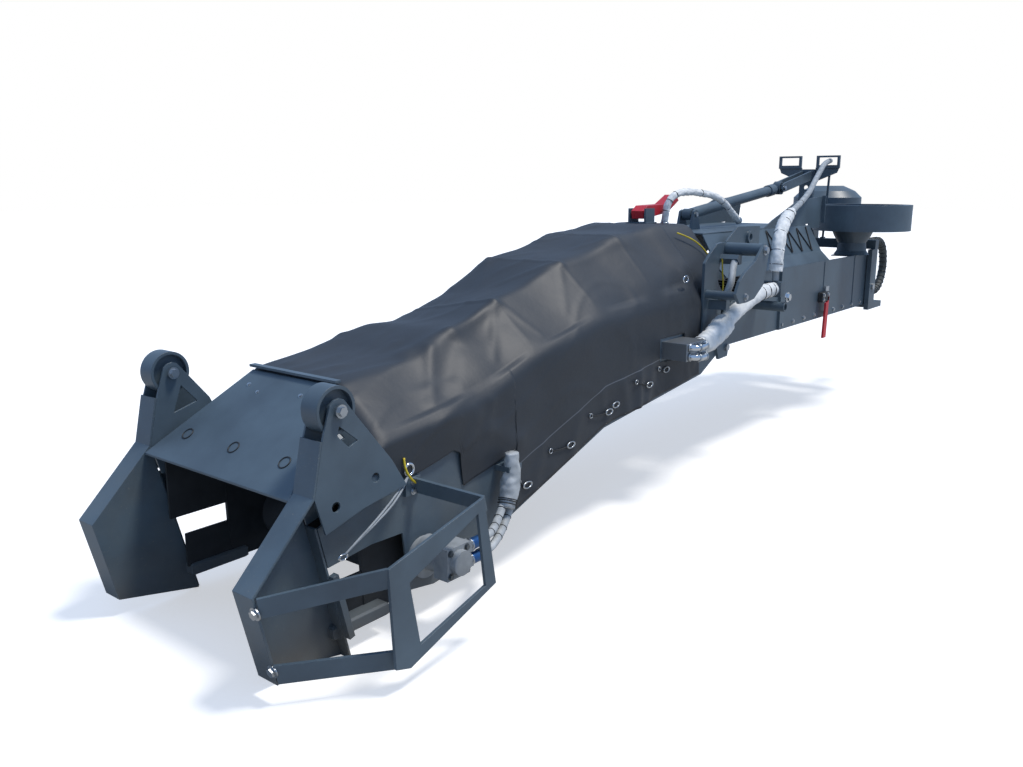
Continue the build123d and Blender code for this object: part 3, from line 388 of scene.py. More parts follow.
# Folds: from (x, y, z), to (x, y, z), half width, height, and 1 where the far side has it too
FOLDS = (
    (4.650, 0.238, 0.466, 4.960, 0.255, 0.372, 0.030, 0.014, 0),
    (4.960, 0.255, 0.372, 5.200, 0.200, 0.322, 0.032, 0.011, 0),
    (5.200, 0.200, 0.322, 5.420, 0.080, 0.272, 0.035, 0.009, 0),
    (4.720, 0.300, 0.410, 4.950, 0.330, 0.310, 0.055, -0.014, 1),
    (4.660, 0.250, 0.455, 4.860, 0.420, 0.265, 0.020, 0.008, 1),
    (4.640, 0.250, 0.458, 4.560, 0.430, 0.330, 0.018, 0.005, 1),
    (5.100, 0.275, 0.325, 5.270, 0.450, 0.150, 0.028, 0.013, 1),
    (5.000, 0.300, 0.330, 5.180, 0.440, 0.170, 0.040, -0.012, 1),
    (5.211, 0.504, 0.150, 5.240, 0.504, 0.060, 0.110, 0.024, 1),
    (5.080, 0.504, 0.060, 5.150, 0.504, -0.080, 0.045, 0.012, 1),
    (4.980, 0.504, 0.100, 5.060, 0.504, -0.120, 0.030, 0.008, 1),
    (4.145, 0.230, 0.601, 4.430, 0.040, 0.527, 0.024, 0.009, 1),
    (4.155, 0.235, 0.590, 4.330, 0.410, 0.400, 0.018, 0.005, 1),
    (4.655, 0.235, 0.468, 4.672, -0.230, 0.388, 0.016, 0.012, 0),
    (4.145, 0.235, 0.602, 4.145, -0.235, 0.602, 0.014, 0.007, 0),
    (3.641, 0.230, 0.705, 3.641, -0.230, 0.705, 0.014, 0.006, 0),
    (4.145, 0.235, 0.600, 4.145, 0.430, 0.415, 0.012, 0.004, 1),
    (4.650, 0.235, 0.467, 4.650, 0.430, 0.303, 0.012, 0.004, 1),
    (3.641, 0.230, 0.704, 3.641, 0.430, 0.470, 0.012, 0.004, 1),
    (3.641, 0.235, 0.695, 3.880, 0.110, 0.655, 0.022, 0.006, 1),
    (5.480, -0.150, 0.262, 5.180, -0.220, 0.312, 0.030, 0.011, 0),
    (5.500, 0.060, 0.262, 5.120, 0.090, 0.330, 0.028, 0.010, 0),
    (5.540, 0.180, 0.255, 5.300, 0.240, 0.285, 0.022, 0.008, 0),
    (5.560, -0.050, 0.252, 5.300, -0.060, 0.292, 0.020, 0.007, 0),
    (3.850, 0.504, -0.150, 3.830, 0.504, 0.030, 0.032, 0.024, 0),
    (3.940, 0.504, -0.160, 3.990, 0.504, 0.010, 0.040, 0.013, 1),
    (3.760, 0.504, -0.140, 3.700, 0.504, 0.050, 0.030, 0.010, 1),
    (3.230, 0.500, 0.320, 3.262, 0.504, 0.000, 0.035, 0.013, 1),
    (3.290, 0.440, 0.500, 3.235, 0.500, 0.250, 0.025, 0.008, 1),
    (3.420, 0.504, 0.300, 3.330, 0.504, -0.080, 0.050, 0.008, 1),
    (4.420, 0.504, -0.240, 4.360, 0.504, -0.080, 0.035, 0.009, 1),
    (4.120, 0.504, -0.180, 4.160, 0.504, -0.030, 0.035, 0.010, 1),
    (4.700, 0.504, -0.330, 4.640, 0.504, -0.150, 0.035, 0.010, 1),
    (4.800, 0.504, -0.100, 4.990, 0.504, -0.020, 0.040, 0.012, 1),
    (4.300, 0.504, 0.230, 4.750, 0.504, 0.060, 0.060, 0.006, 1),
)


def tarp_hem(x):
    """Height of the tarpaulin's lower edge."""
    if x < FRONT_HEM[0][0]:
        return belt_top(x) - RAIL_DROP + HEM_RISE
    return along(FRONT_HEM, x, 1, 0.0)


def mirrored(right, left_top):
    """A hoop's outline from hem over the top to the other hem."""
    left = [(-y, z) for y, z in reversed(right)]
    left[0] = (left[0][0], left_top)
    return right + left


def tarp_outline(x):
    """The tarpaulin's corners across the conveyor at x."""
    top, half, drop, slope, low = (along(TARP_ROWS, x, k) for k in range(1, 6))
    right = [(TARP_SIDE, tarp_hem(x)), (TARP_SIDE, low), (SLOPE_Y, slope), (half, top)]
    return mirrored(right, top - drop)


def fold_height(point):
    """How far the folds lift the fabric at a point."""
    lift = 0.0
    for ax, ay, az, bx, by, bz, width, height, both in FOLDS:
        y = abs(point.y) if both else point.y
        px, py, pz = point.x - ax, y - ay, point.z - az
        dx, dy, dz = bx - ax, by - ay, bz - az
        part = min(1.0, max(0.0, (px * dx + py * dy + pz * dz) / (dx * dx + dy * dy + dz * dz)))
        gap = math.sqrt((px - dx * part) ** 2 + (py - dy * part) ** 2 + (pz - dz * part) ** 2)
        if gap < 3 * width:
            lift += FOLD_SHARE * height * math.exp(-(gap / width) ** 2) * (1.0 - FOLD_FADE * part)
    return lift


def tarp_lift(point, above_hem):
    """How far the tarpaulin stands off its straight lines: sag, folds, wrinkles and a loose hem."""
    x = point.x
    for low, high in zip(HOOPS, HOOPS[1:]):
        if low <= x <= high:
            span = math.sin(math.pi * (x - low) / (high - low)) ** 2
    flat = 1.0 if abs(point.y) < SAG_TO else 0.0
    lift = -SAG * span * flat + BELLY * span * (1 - flat) + fold_height(point)
    place = Vector((x * 3.2, point.y * 6.0, point.z * 4.0))
    lift += WRINKLE * (noise.noise(place) + 0.35 * noise.noise(place * 2.6)) * (1.0 if flat else 0.6)
    crease = 1.0 - abs(noise.noise(Vector((x * 2.4 + point.z * 1.6, point.y * 4.0, point.z * 3.4 + 9.0))))
    lift += CREASE * max(0.0, crease - 0.88) / 0.12
    loose = math.exp(-above_hem / 0.07)
    wave = 0.5 + 0.5 * math.sin(x * 13.0 + 2.0 * math.sin(x * 3.7))
    lift += FLAP * loose * wave
    return lift if flat else max(lift, 0.0)


def draped_sheet(name, stations, outline, counts, lift, cut=None):
    """A sheet over outlines at stations along X; counts are the steps of each outline's runs."""
    rows = []
    for x in stations:
        corners = outline(x)
        row = []
        for (y0, z0), (y1, z1), count in zip(corners, corners[1:], counts):
            row += [(y0 + (y1 - y0) * k / count, z0 + (z1 - z0) * k / count) for k in range(count)]
        row.append(corners[-1])
        # Five rounds ease the corners, as cloth does over an edge
        for _ in range(5):
            row = [row[0]] + [((a[0] + 2 * b[0] + c[0]) / 4, (a[1] + 2 * b[1] + c[1]) / 4)
                              for a, b, c in zip(row, row[1:], row[2:])] + [row[-1]]
        rows.append([Vector((x, y, z)) for y, z in row])
    size = len(rows[0])
    points, hems = [], []
    for k, row in enumerate(rows):
        before, after = rows[max(k - 1, 0)], rows[min(k + 1, len(rows) - 1)]
        for j, point in enumerate(row):
            on_side = abs(point.y) > SIDE_FROM
            across = row[min(j + 1, size - 1)] - row[max(j - 1, 0)]
            outwards = across.cross(after[j] - before[j]).normalized()
            if outwards.y * point.y + outwards.z * (0.0 if on_side else 1.0) < 0:
                outwards.negate()
            above = abs(point.z - row[0 if point.y > 0 else -1].z) if on_side else 1.0
            points.append(point + outwards * lift(point, above))
            hems.append(above if point.x < FRONT_HEM[0][0] else 1.0)
    faces = [(k * size + j, k * size + j + 1, (k + 1) * size + j + 1, (k + 1) * size + j)
             for k in range(len(rows) - 1) for j in range(size - 1)]
    piece = add_piece(name, points, faces, TARP)
    piece.data.attributes.new("above_hem", "FLOAT", "POINT").data.foreach_set("value", hems)
    work = bmesh.new()
    work.from_mesh(piece.data)
    if cut:
        cut(work)
    bmesh.ops.recalc_face_normals(work, faces=work.faces[:])
    middle = min(work.faces, key=lambda face: face.calc_center_median().y ** 2 - face.calc_center_median().z)
    if middle.normal.z < 0:
        bmesh.ops.reverse_faces(work, faces=work.faces[:])
    work.to_mesh(piece.data)
    work.free()
    skin = piece.modifiers.new("skin", "SOLIDIFY")
    skin.thickness = SHEET_THICKNESS
    skin.offset = -1.0
    return piece


# Where the hoses pass through the tarpaulin's side: x from and to, z from and to
PORT_WINDOW = (3.384, 3.626, 0.062, 0.184)


def cut_port(work):
    """Cuts the opening for the hoses out of the near side."""
    x0, x1, z0, z1 = PORT_WINDOW

    def near():
        found = [f for f in work.faces if f.calc_center_median().y > SAG_TO
                 and x0 - 0.05 < f.calc_center_median().x < x1 + 0.05]
        return found + list({e for f in found for e in f.edges}) + list({v for f in found for v in f.verts})

    for place in ((x0, 0, 0), (x1, 0, 0), (0, 0, z0), (0, 0, z1)):
        normal = (1, 0, 0) if place[0] else (0, 0, 1)
        bmesh.ops.bisect_plane(work, geom=near(), dist=0.0002, plane_co=place, plane_no=normal)
    gone = [f for f in work.faces if f.calc_center_median().y > SAG_TO
            and x0 < f.calc_center_median().x < x1 and z0 < f.calc_center_median().z < z1]
    bmesh.ops.delete(work, geom=gone, context="FACES")


def tarpaulin_cover():
    """The long tarpaulin over the discharge frame."""
    steps = [TARP_ROWS[0][0] + 0.012 * k for k in range(210)]
    # Closer stations where the hem jumps, and one at the front edge
    jumps = [4.829, 4.8335, 4.8465, 5.1655, 5.1895, TARP_ROWS[-1][0]]
    stations = sorted([x for x in steps if x < 5.684] + jumps)
    counts = (32, 7, 17, 26, 17, 7, 32)
    piece = draped_sheet("tarpaulin", stations, tarp_outline, counts, tarp_lift, cut_port)
    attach(piece, "front_section")
    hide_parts("tarp_cover")


def arch_outline(x):
    """The arched sheet's corners at x, between its rear and front hoops."""
    part = (x - ARCH_REAR) / (ARCH_FRONT - ARCH_REAR)
    right = [(0.496, belt_top(x) + RAIL_RISE + 0.0003), (0.496, 0.330 + 0.007 * part),
             (0.372 + 0.050 * part, 0.590 - 0.078 * part), (0.245 - 0.015 * part, 0.742)]
    return mirrored(right, 0.742)


def arch_lift(point, above_hem):
    """A tight sheet with shallow ripples."""
    place = Vector((point.x * 9.0, point.y * 7.0, point.z * 7.0))
    return 0.003 * noise.noise(place) + 0.002 * math.exp(-above_hem / 0.05)


def arched_sheet():
    """The short sheet over the fold's arch."""
    stations = [ARCH_REAR + (ARCH_FRONT - ARCH_REAR) * k / 24 for k in range(25)]
    counts = (12, 12, 10, 22, 10, 12, 12)
    piece = draped_sheet("arched_sheet", stations, arch_outline, counts, arch_lift)
    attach(piece, "front_section")
    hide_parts("arch_sheet")


# Hose routes, in metres
ROUTES = {
    "hose_bundle": (
        (3.3997, 0.592, 0.123), (3.300, 0.592, 0.123), (3.200, 0.592, 0.152), (3.030, 0.593, 0.228),
        (2.845, 0.595, 0.293), (2.660, 0.597, 0.336), (2.555, 0.598, 0.345), (2.4553, 0.598, 0.345)),
    "hose_arch": (
        (3.0002, 0.598, 0.5458), (3.034, 0.606, 0.514), (3.070, 0.622, 0.476), (3.094, 0.628, 0.434),
        (3.103, 0.614, 0.388), (3.103, 0.598, 0.3433)),
    "hose_motor_a": (
        (4.948, 0.556, -0.1873), (4.948, 0.556, -0.225), (4.959, 0.557, -0.274), (4.988, 0.565, -0.319),
        (5.034, 0.580, -0.354), (5.090, 0.606, -0.371), (5.155, 0.638, -0.373), (5.228, 0.655, -0.3707),
        (5.2997, 0.655, -0.3707)),
    "hose_motor_b": (
        (4.906, 0.556, -0.1873), (4.906, 0.556, -0.250), (4.921, 0.558, -0.312), (4.961, 0.568, -0.367),
        (5.021, 0.590, -0.404), (5.091, 0.617, -0.424), (5.160, 0.642, -0.431), (5.230, 0.655, -0.4307),
        (5.2997, 0.655, -0.4307)),
    "hose_mast": (
        (0.405, 0.150, 1.148), (0.560, 0.165, 1.132), (0.750, 0.205, 1.063), (1.000, 0.262, 0.985),
        (1.300, 0.340, 0.905), (1.650, 0.420, 0.840), (1.950, 0.485, 0.795), (2.180, 0.540, 0.750),
        (2.330, 0.575, 0.680), (2.400, 0.595, 0.590), (2.422, 0.600, 0.490), (2.425, 0.600, 0.391)),
    "hose_tail": (
        (0.2897, 0.400, 0.506), (0.175, 0.400, 0.506), (0.059, 0.400, 0.508), (-0.057, 0.400, 0.509),
        (-0.173, 0.400, 0.506), (-0.268, 0.400, 0.451), (-0.322, 0.400, 0.356), (-0.322, 0.400, 0.247),
        (-0.268, 0.400, 0.152), (-0.173, 0.400, 0.098), (-0.078, 0.400, 0.095), (0.016, 0.400, 0.097),
        (0.1097, 0.400, 0.097)),
}
# Hoses: node, name, diameter, length, finish, height of the wrinkles, body or the two bodies they join
HOSES = (
    ("hose_bundle", "bundle_sleeve", 0.090, 0.980, SLEEVE_PALE_AND_LIT, 0.0050, ("rear_section", "front_section")),
    ("hose_arch", "arch_hose", 0.040, 0.243, SLEEVE, 0.0016, ("front_section",)),
    ("hose_motor_a", "motor_hose_upper", 0.034, 0.482, SLEEVE, 0.0012, ("front_section",)),
    ("hose_motor_b", "motor_hose_lower", 0.034, 0.559, SLEEVE, 0.0012, ("front_section",)),
    ("hose_mast", "mast_hose", 0.040, 2.347, BRAID, 0.0010, ("slew_bracket", "rear_section")),
    ("hose_tail", "tail_hose", 0.064, 1.279, SLEEVE_DARK, 0.0030, ("slew_bracket",)),
)


def smooth_line(points):
    """The smooth line that the points steer, as close-set points."""
    curve = bpy.data.curves.new("route", "CURVE")
    curve.dimensions = "3D"
    curve.resolution_u = 16
    spline = curve.splines.new("NURBS")
    spline.points.add(len(points) - 1)
    for knot, point in zip(spline.points, points):
        knot.co = (*point, 1.0)
    spline.order_u = 3
    spline.use_endpoint_u = True
    holder = bpy.data.objects.new("route", curve)
    mesh = bpy.data.meshes.new_from_object(holder)
    line = [vertex.co.copy() for vertex in mesh.vertices]
    bpy.data.objects.remove(holder)
    bpy.data.curves.remove(curve)
    bpy.data.meshes.remove(mesh)
    return line


def even_steps(line, step):
    """Points at even distances along a line, with their direction and distance from its start."""
    lengths = [0.0]
    for a, b in zip(line, line[1:]):
        lengths.append(lengths[-1] + (b - a).length)
    count = max(2, round(lengths[-1] / step))
    found, k = [], 0
    for n in range(count + 1):
        at = lengths[-1] * n / count
        while k < len(lengths) - 2 and lengths[k + 1] < at:
            k += 1
        part = (at - lengths[k]) / (lengths[k + 1] - lengths[k])
        found.append((line[k].lerp(line[k + 1], part), (line[k + 1] - line[k]).normalized(), at))
    return found


def tube(name, line, radius, finish, body=None, sides=20, step=0.012, wrinkle=0.0):
    """A round tube along a line; its radius is a length, or a rule that gives one at a distance."""
    steps = even_steps(line, step)
    side = steps[0][1].orthogonal().normalized()
    points, places = [], []
    for centre, ahead, at in steps:
        side = (side - ahead * side.dot(ahead)).normalized()
        up = ahead.cross(side)
        size = radius(at) if callable(radius) else radius
        for j in range(sides):
            angle = 2 * math.pi * j / sides
            way = side * math.cos(angle) + up * math.sin(angle)
            place = Vector((math.cos(angle) * 2, math.sin(angle) * 2, at * 38.0)) + centre
            points.append(centre + way * (size + wrinkle * noise.noise(place)))
            places.append((j / sides * 2 * math.pi * size, at))
    faces = []
    for k in range(len(steps) - 1):
        low, high = k * sides, (k + 1) * sides
        faces += [(low + j, low + (j + 1) % sides, high + (j + 1) % sides, high + j) for j in range(sides)]
    last = (len(steps) - 1) * sides
    faces += [tuple(range(sides - 1, -1, -1)), tuple(range(last, last + sides))]
    piece = add_piece(name, points, faces, finish)
    layer = piece.data.uv_layers.new(name="around")
    for loop in piece.data.loops:
        layer.data[loop.index].uv = places[loop.vertex_index]
    if body:
        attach(piece, body)
    return piece


def repeat(name, tree, spots, finish, slot, body, **sizes):
    """Small parts at spots of (x, y, z, facing x, y, z, scale): a node tree's result, turned into a mesh."""
    mesh = bpy.data.meshes.new(name)
    mesh.from_pydata([spot[:3] for spot in spots], [], [])
    facing = mesh.attributes.new("facing", "FLOAT_VECTOR", "POINT")
    facing.data.foreach_set("vector", [value for spot in spots for value in spot[3:6]])
    scale = mesh.attributes.new("scale_by", "FLOAT", "POINT")
    scale.data.foreach_set("value", [spot[6] if len(spot) > 6 else 1.0 for spot in spots])
    holder = bpy.data.objects.new(name + "_spots", mesh)
    bpy.context.scene.collection.objects.link(holder)
    modifier = holder.modifiers.new("parts", "NODES")
    modifier.node_group = tree
    for item in tree.interface.items_tree:
        if item.in_out == "INPUT" and item.name in sizes:
            modifier[item.identifier] = sizes[item.name]
        if item.in_out == "INPUT" and item.name == "Finish":
            modifier[item.identifier] = finish
    solid = bpy.data.meshes.new_from_object(holder.evaluated_get(bpy.context.evaluated_depsgraph_get()))
    bpy.data.objects.remove(holder)
    piece = bpy.data.objects.new(name, solid)
    bpy.context.scene.collection.objects.link(piece)
    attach(piece, body)


def part_tree(name, inputs, build):
    """A node tree that sets one small part on every spot, its Z along the spot's facing."""
    tree = bpy.data.node_groups.new(name, "GeometryNodeTree")
    tree.interface.new_socket("Spots", in_out="INPUT", socket_type="NodeSocketGeometry")
    for label, value in inputs.items():
        socket = tree.interface.new_socket(label, in_out="INPUT", socket_type="NodeSocketFloat")
        socket.default_value = value
    tree.interface.new_socket("Finish", in_out="INPUT", socket_type="NodeSocketMaterial")
    tree.interface.new_socket("Parts", in_out="OUTPUT", socket_type="NodeSocketGeometry")
    given = add_node(tree, "NodeGroupInput")
    part = build(tree, given.outputs)
    facing, scale = [add_node(tree, "GeometryNodeInputNamedAttribute", {"data_type": kind, "Name": label})
                     for kind, label in (("FLOAT_VECTOR", "facing"), ("FLOAT", "scale_by"))]
    turn = add_node(tree, "FunctionNodeAlignRotationToVector", {"axis": "Z"}, {"Vector": facing})
    spread = add_node(tree, "GeometryNodeInstanceOnPoints",
                      links={"Points": given.outputs["Spots"], "Instance": part, "Rotation": turn,
                             "Scale": scale})
    real = add_node(tree, "GeometryNodeRealizeInstances", links={0: spread})
    done = add_node(tree, "GeometryNodeSetMaterial",
                    links={"Geometry": real, "Material": given.outputs["Finish"]})
    add_node(tree, "NodeGroupOutput", links={0: done})
    return tree


def hex_bolt(tree, given):
    """A hex head on a round washer."""
    head = add_node(tree, "GeometryNodeMeshCylinder", {"Vertices": 6},
                    {"Radius": given["Head Radius"], "Depth": given["Head Height"]})
    washer = add_node(tree, "GeometryNodeMeshCylinder", {"Vertices": 20, "Depth": 0.003},
                      {"Radius": given["Washer Radius"]})
    half = add_node(tree, "ShaderNodeMath", {"operation": "MULTIPLY", 1: 0.5}, {0: given["Head Height"]})
    lift = add_node(tree, "ShaderNodeCombineXYZ", links={"Z": half})
    raised = add_node(tree, "GeometryNodeTransform", links={"Geometry": head, "Translation": lift})
    joined = add_node(tree, "GeometryNodeJoinGeometry", links={0: washer})
    tree.links.new(raised.outputs[0], joined.inputs[0])
    return joined


def round_ring(tree, given):
    """A ring of round wire, longer one way where it is an oval hook."""
    path, wire = [add_node(tree, "GeometryNodeCurvePrimitiveCircle", {"Resolution": steps}, {"Radius": size})
                  for steps, size in ((20, given["Ring Radius"]), (8, given["Wire Radius"]))]
    swept = add_node(tree, "GeometryNodeCurveToMesh", links={"Curve": path, "Profile Curve": wire})
    stretch = add_node(tree, "ShaderNodeCombineXYZ", {"Y": 1.0, "Z": 1.0}, {"X": given["Stretch"]})
    return add_node(tree, "GeometryNodeTransform", links={"Geometry": swept, "Scale": stretch})


def flat_bar(tree, given):
    """A rib with its long side across the conveyor."""
    size = add_node(tree, "ShaderNodeCombineXYZ",
                    links={"X": given["Width"], "Y": given["Length"], "Z": given["Height"]})
    return add_node(tree, "GeometryNodeMeshCube", links={"Size": size})


BOLT = part_tree("hex_bolts", {"Head Radius": 0.010, "Head Height": 0.008, "Washer Radius": 0.014}, hex_bolt)
RING = part_tree("wire_rings", {"Ring Radius": 0.02, "Wire Radius": 0.003, "Stretch": 1.0}, round_ring)
BAR = part_tree("ribs", {"Width": 0.02, "Length": 0.5, "Height": 0.012}, flat_bar)


def hose_pieces():
    """The hoses, each along its own route, riding on one body, or left in place on none where it runs between
    two.
    """
    for node, name, diameter, length, finish, wrinkle, bodies in HOSES:
        line = smooth_line(ROUTES[node])
        radius = diameter / 2 - wrinkle * 0.4
        piece = tube(name, line, radius, finish, None, 24, 0.010, wrinkle)
        if len(bodies) == 1:
            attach(piece, bodies[0])
        elif node == "hose_bundle":
            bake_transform(piece)
        else:
            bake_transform(piece)
        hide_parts(node)


# Small parts: x, y, z, the way they face as x, y, z, and their scale
WING_EDGE = (0.976, 0.0, -0.217)
HOOD_FACE = (0.61, 0.0, 0.79)
FRONT_BOLTS = (
    (6.1865, 0.545, -0.345, *WING_EDGE, 1.7), (6.1360, 0.545, -0.565, *WING_EDGE, 1.7),
    (5.640, -0.200, 0.194, *HOOD_FACE, 0.7), (5.660, -0.120, 0.1785, *HOOD_FACE, 0.6),
    (5.640, 0.120, 0.194, *HOOD_FACE, 0.7),
    (2.930, 0.7455, 0.612, 0, 1, 0, 2.0), (3.155, 0.7455, 0.375, 0, 1, 0, 1.5),
    (5.4525, 0.5155, -0.108, 0, 1, 0, 1.0), (5.4525, 0.5155, -0.145, 0, 1, 0, 1.0),
)
MOTOR_BOLTS = tuple((5.400 + dx, 0.6905, -0.397 + dz, 0, 1, 0, 1.0)
                    for dx in (-0.045, 0.045) for dz in (-0.045, 0.045))
REAR_BOLTS = tuple((0.52 + 0.19 * k, side * 0.5005, 0.072, 0, side, 0, 1.15)
                   for k in range(9) for _, side in SIDES)
PLUGS = tuple((5.863, y, 0.0235, *HOOD_FACE, 1.0) for y in (-0.300, 0.0, 0.300))
HOOKS = ((3.567, 0.512, 0.015), (3.745, 0.518, -0.035), (4.060, 0.516, -0.081), (4.123, 0.518, -0.104),
         (4.440, 0.518, -0.197), (4.760, 0.516, -0.305))
EYELETS = ((3.640, 0.512, 0.030), (3.886, 0.524, 0.003), (4.274, 0.514, -0.095), (4.591, 0.514, -0.192),
           (4.815, 0.512, -0.280))
# Short black cords from eyelet to hook, and how far each hangs through
TIES = ((1, 1), (2, 3), (3, 4), (4, 5), (0, 0))
TIE_SAG = 0.012
# The belts' ribs: their spacing, their middle above the belt's face, and their size
RIB_PITCH = 0.16
RIB_RISE = 0.005
RIB_SIZE = {"Length": 0.56, "Height": 0.014}


def rings(name, spots, finish, slot, body, radius, wire, stretch=1.0):
    """Rings of round wire at spots, made ovals by the stretch."""
    sizes = {"Ring Radius": radius, "Wire Radius": wire, "Stretch": stretch}
    repeat(name, RING, spots, finish, slot, body, **sizes)


def hardware():
    """Bolts, plugs, the hem's hooks, eyelets and ties, the mouth's eyelets and the belts' ribs."""
    repeat("front_bolts", BOLT, FRONT_BOLTS, ZINC, "zinc", "front_section")
    repeat("motor_bolts", BOLT, MOTOR_BOLTS, STEEL, "drum_steel", "front_section")
    repeat("rear_bolts", BOLT, REAR_BOLTS, ZINC, "zinc", "rear_section")
    rings("hood_plugs", PLUGS, HOSE_RUBBER, "hose_sleeve", "front_section", 0.024, 0.0025)
    for name, side in SIDES:
        hooks = [(x, side * y, z, 0, side, 0) for x, y, z in HOOKS]
        rings("hem_hooks_" + name, hooks, ZINC, "zinc", "front_section", 0.014, 0.003, 2.0)
        eyelets = [(x, side * y, z, 0, side, 0) for x, y, z in EYELETS]
        rings("hem_eyelets_" + name, eyelets, ZINC, "zinc", "front_section", 0.011, 0.0026)
        for k, (eyelet, hook) in enumerate(TIES):
            (ax, ay, az), (bx, by, bz) = EYELETS[eyelet], HOOKS[hook]
            middle = ((ax + bx) / 2, side * (ay + by) / 2, (az + bz) / 2 - TIE_SAG)
            line = smooth_line([(ax, side * ay, az), middle, (bx, side * by, bz)])
            tube(f"hem_tie_{name}_{k}", line, 0.003, CORD_BLACK, "front_section", 8, 0.02)
        mouth = [(5.466, side * 0.509, -0.060, 0, side, 0)]
        rings("mouth_eyelet_" + name, mouth, CHROME, "chrome_rod", "front_section", 0.022, 0.006)
    places = [3.20 + RIB_PITCH * k for k in range(14)]
    ribs = [(x, 0.0, belt_top(x) + RIB_RISE, FRONT_SLOPE if x > KINK_X else MID_SLOPE, 0, 1, 1.0)
            for x in places]
    repeat("front_belt_ribs", BAR, ribs, RUBBER, "belt_rubber", "front_section", **RIB_SIZE)
    ribs = [(0.62 + RIB_PITCH * k, 0.0, BELT_HIGH + RIB_RISE, 0, 0, 1, 1.0) for k in range(13)]
    repeat("rear_belt_ribs", BAR, ribs, RUBBER, "belt_rubber", "rear_section", **RIB_SIZE)
    for name, side in SIDES:
        low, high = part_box("roller_pin_" + name)
        outer, inner = (high.y, low.y) if side > 0 else (low.y, high.y)
        spots = [(5.822, outer, 0.239, 0, side, 0, 1.7), (5.822, inner, 0.239, 0, -side, 0, 1.7)]
        repeat("roller_bolts_" + name, BOLT, spots, ZINC, "zinc", "front_section")


def bands(name, line, distances, radius, wire, finish, body):
    """Rings round a hose at distances along its line."""
    steps = even_steps(line, 0.004)
    spots = []
    for wanted in distances:
        point, ahead, _ = min(steps, key=lambda step: abs(step[2] - wanted))
        spots.append((*point, *ahead, 1.0))
    rings(name, spots, finish, "hose_sleeve", body, radius, wire)


def fittings():
    """Ties, elbows, collars and nuts on the hoses."""
    bundle = smooth_line(ROUTES["hose_bundle"])
    bands("bundle_ties_front", bundle, (0.03, 0.10, 0.17, 0.235, 0.30), 0.0445, 0.0022, CORD_BLACK,
          "front_section")
    bands("bundle_ties_rear", bundle, (0.80, 0.87, 0.94), 0.0445, 0.0022, CORD_BLACK, "rear_section")
    for name, z, drop in (("upper", 0.147, 0.0), ("lower", 0.099, 0.010)):
        elbow = smooth_line([
            (3.575, 0.640, z), (3.575, 0.668, z), (3.560, 0.684, z), (3.520, 0.686, z - drop),
            (3.440, 0.672, z - drop), (3.390, 0.640, z - drop)])
        tube("port_elbow_" + name, elbow, 0.017, CHROME, "front_section", 20, 0.008)
        bands("port_nuts_" + name, elbow, (0.012, 0.060, 0.150), 0.0175, 0.0055, ZINC, "front_section")
    for node, name in (("hose_motor_a", "upper"), ("hose_motor_b", "lower")):
        line = smooth_line(ROUTES[node])
        end = Vector(ROUTES[node][-1])
        collar = [end + Vector((-0.050, 0, 0)), end]
        tube("motor_collar_" + name, collar, 0.0225, BLUE, "front_section", 24, 0.01)
        crimp = [end + Vector((-0.080, 0, 0)), end]
        bands("motor_nuts_" + name, crimp, (0.012, 0.022, 0.078), 0.0195, 0.006, ZINC, "front_section")
        ties = (0.16, 0.21, 0.27, 0.33)
        bands("motor_ties_" + name, line, ties, 0.0165, 0.0020, CORD_BLACK, "front_section")
    mast = smooth_line(ROUTES["hose_mast"])
    bands("mast_ties", mast, (1.30, 1.60, 1.90, 2.10), 0.0195, 0.0022, CORD_BLACK, "rear_section")
    tail = smooth_line(ROUTES["hose_tail"])
    wraps = [0.03 + 0.045 * k for k in range(27)]
    bands("tail_wrap", tail, wraps, 0.0315, 0.0035, HOSE_RUBBER, "slew_bracket")


def swell(at, start, more, over):
    """A sleeve's radius at a distance along it: it widens from its start, ever more slowly."""
    return start + more * math.sin(min(1.0, at / over) * math.pi / 2)


def motor_sleeve():
    """The loose woven sleeve that gathers both motor hoses under the tarpaulin."""
    line = smooth_line([(4.926, 0.560, -0.112), (4.926, 0.560, -0.170), (4.930, 0.560, -0.225),
                        (4.948, 0.564, -0.285), (4.975, 0.572, -0.335)])
    piece = tube("motor_hose_sleeve", line,
                 lambda at: swell(at, 0.030, 0.016, 0.16) - 0.010 * max(0.0, at - 0.16) / 0.08,
                 SLEEVE, None, 32, 0.006, 0.005)
    # Pressed a little flat against the frame's side
    for vertex in piece.data.vertices:
        vertex.co.y = 0.562 + (vertex.co.y - 0.562) * 0.85
    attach(piece, "front_section")
    bands("motor_sleeve_ties", line, (0.196, 0.206, 0.216), 0.040, 0.0022, CORD_BLACK, "front_section")


# The lacing's two rows of turns: y and z
LACING = ((0.340, 0.672), (0.432, 0.512))
CABLES = {
    "mouth_cable": (
        (5.490, 0.508, -0.010), (5.500, 0.520, -0.045), (5.478, 0.528, -0.088), (5.440, 0.522, -0.120),
        (5.405, 0.512, -0.128)),
    "arch_cable": (
        (3.120, 0.300, 0.700), (3.030, 0.335, 0.672), (2.960, 0.372, 0.622), (2.930, 0.400, 0.572),
        (2.905, 0.440, 0.520)),
    "fold_cable": (
        (3.012, 0.530, 0.560), (3.020, 0.540, 0.480), (3.010, 0.545, 0.410), (3.026, 0.540, 0.350),
        (3.005, 0.530, 0.300)),
}


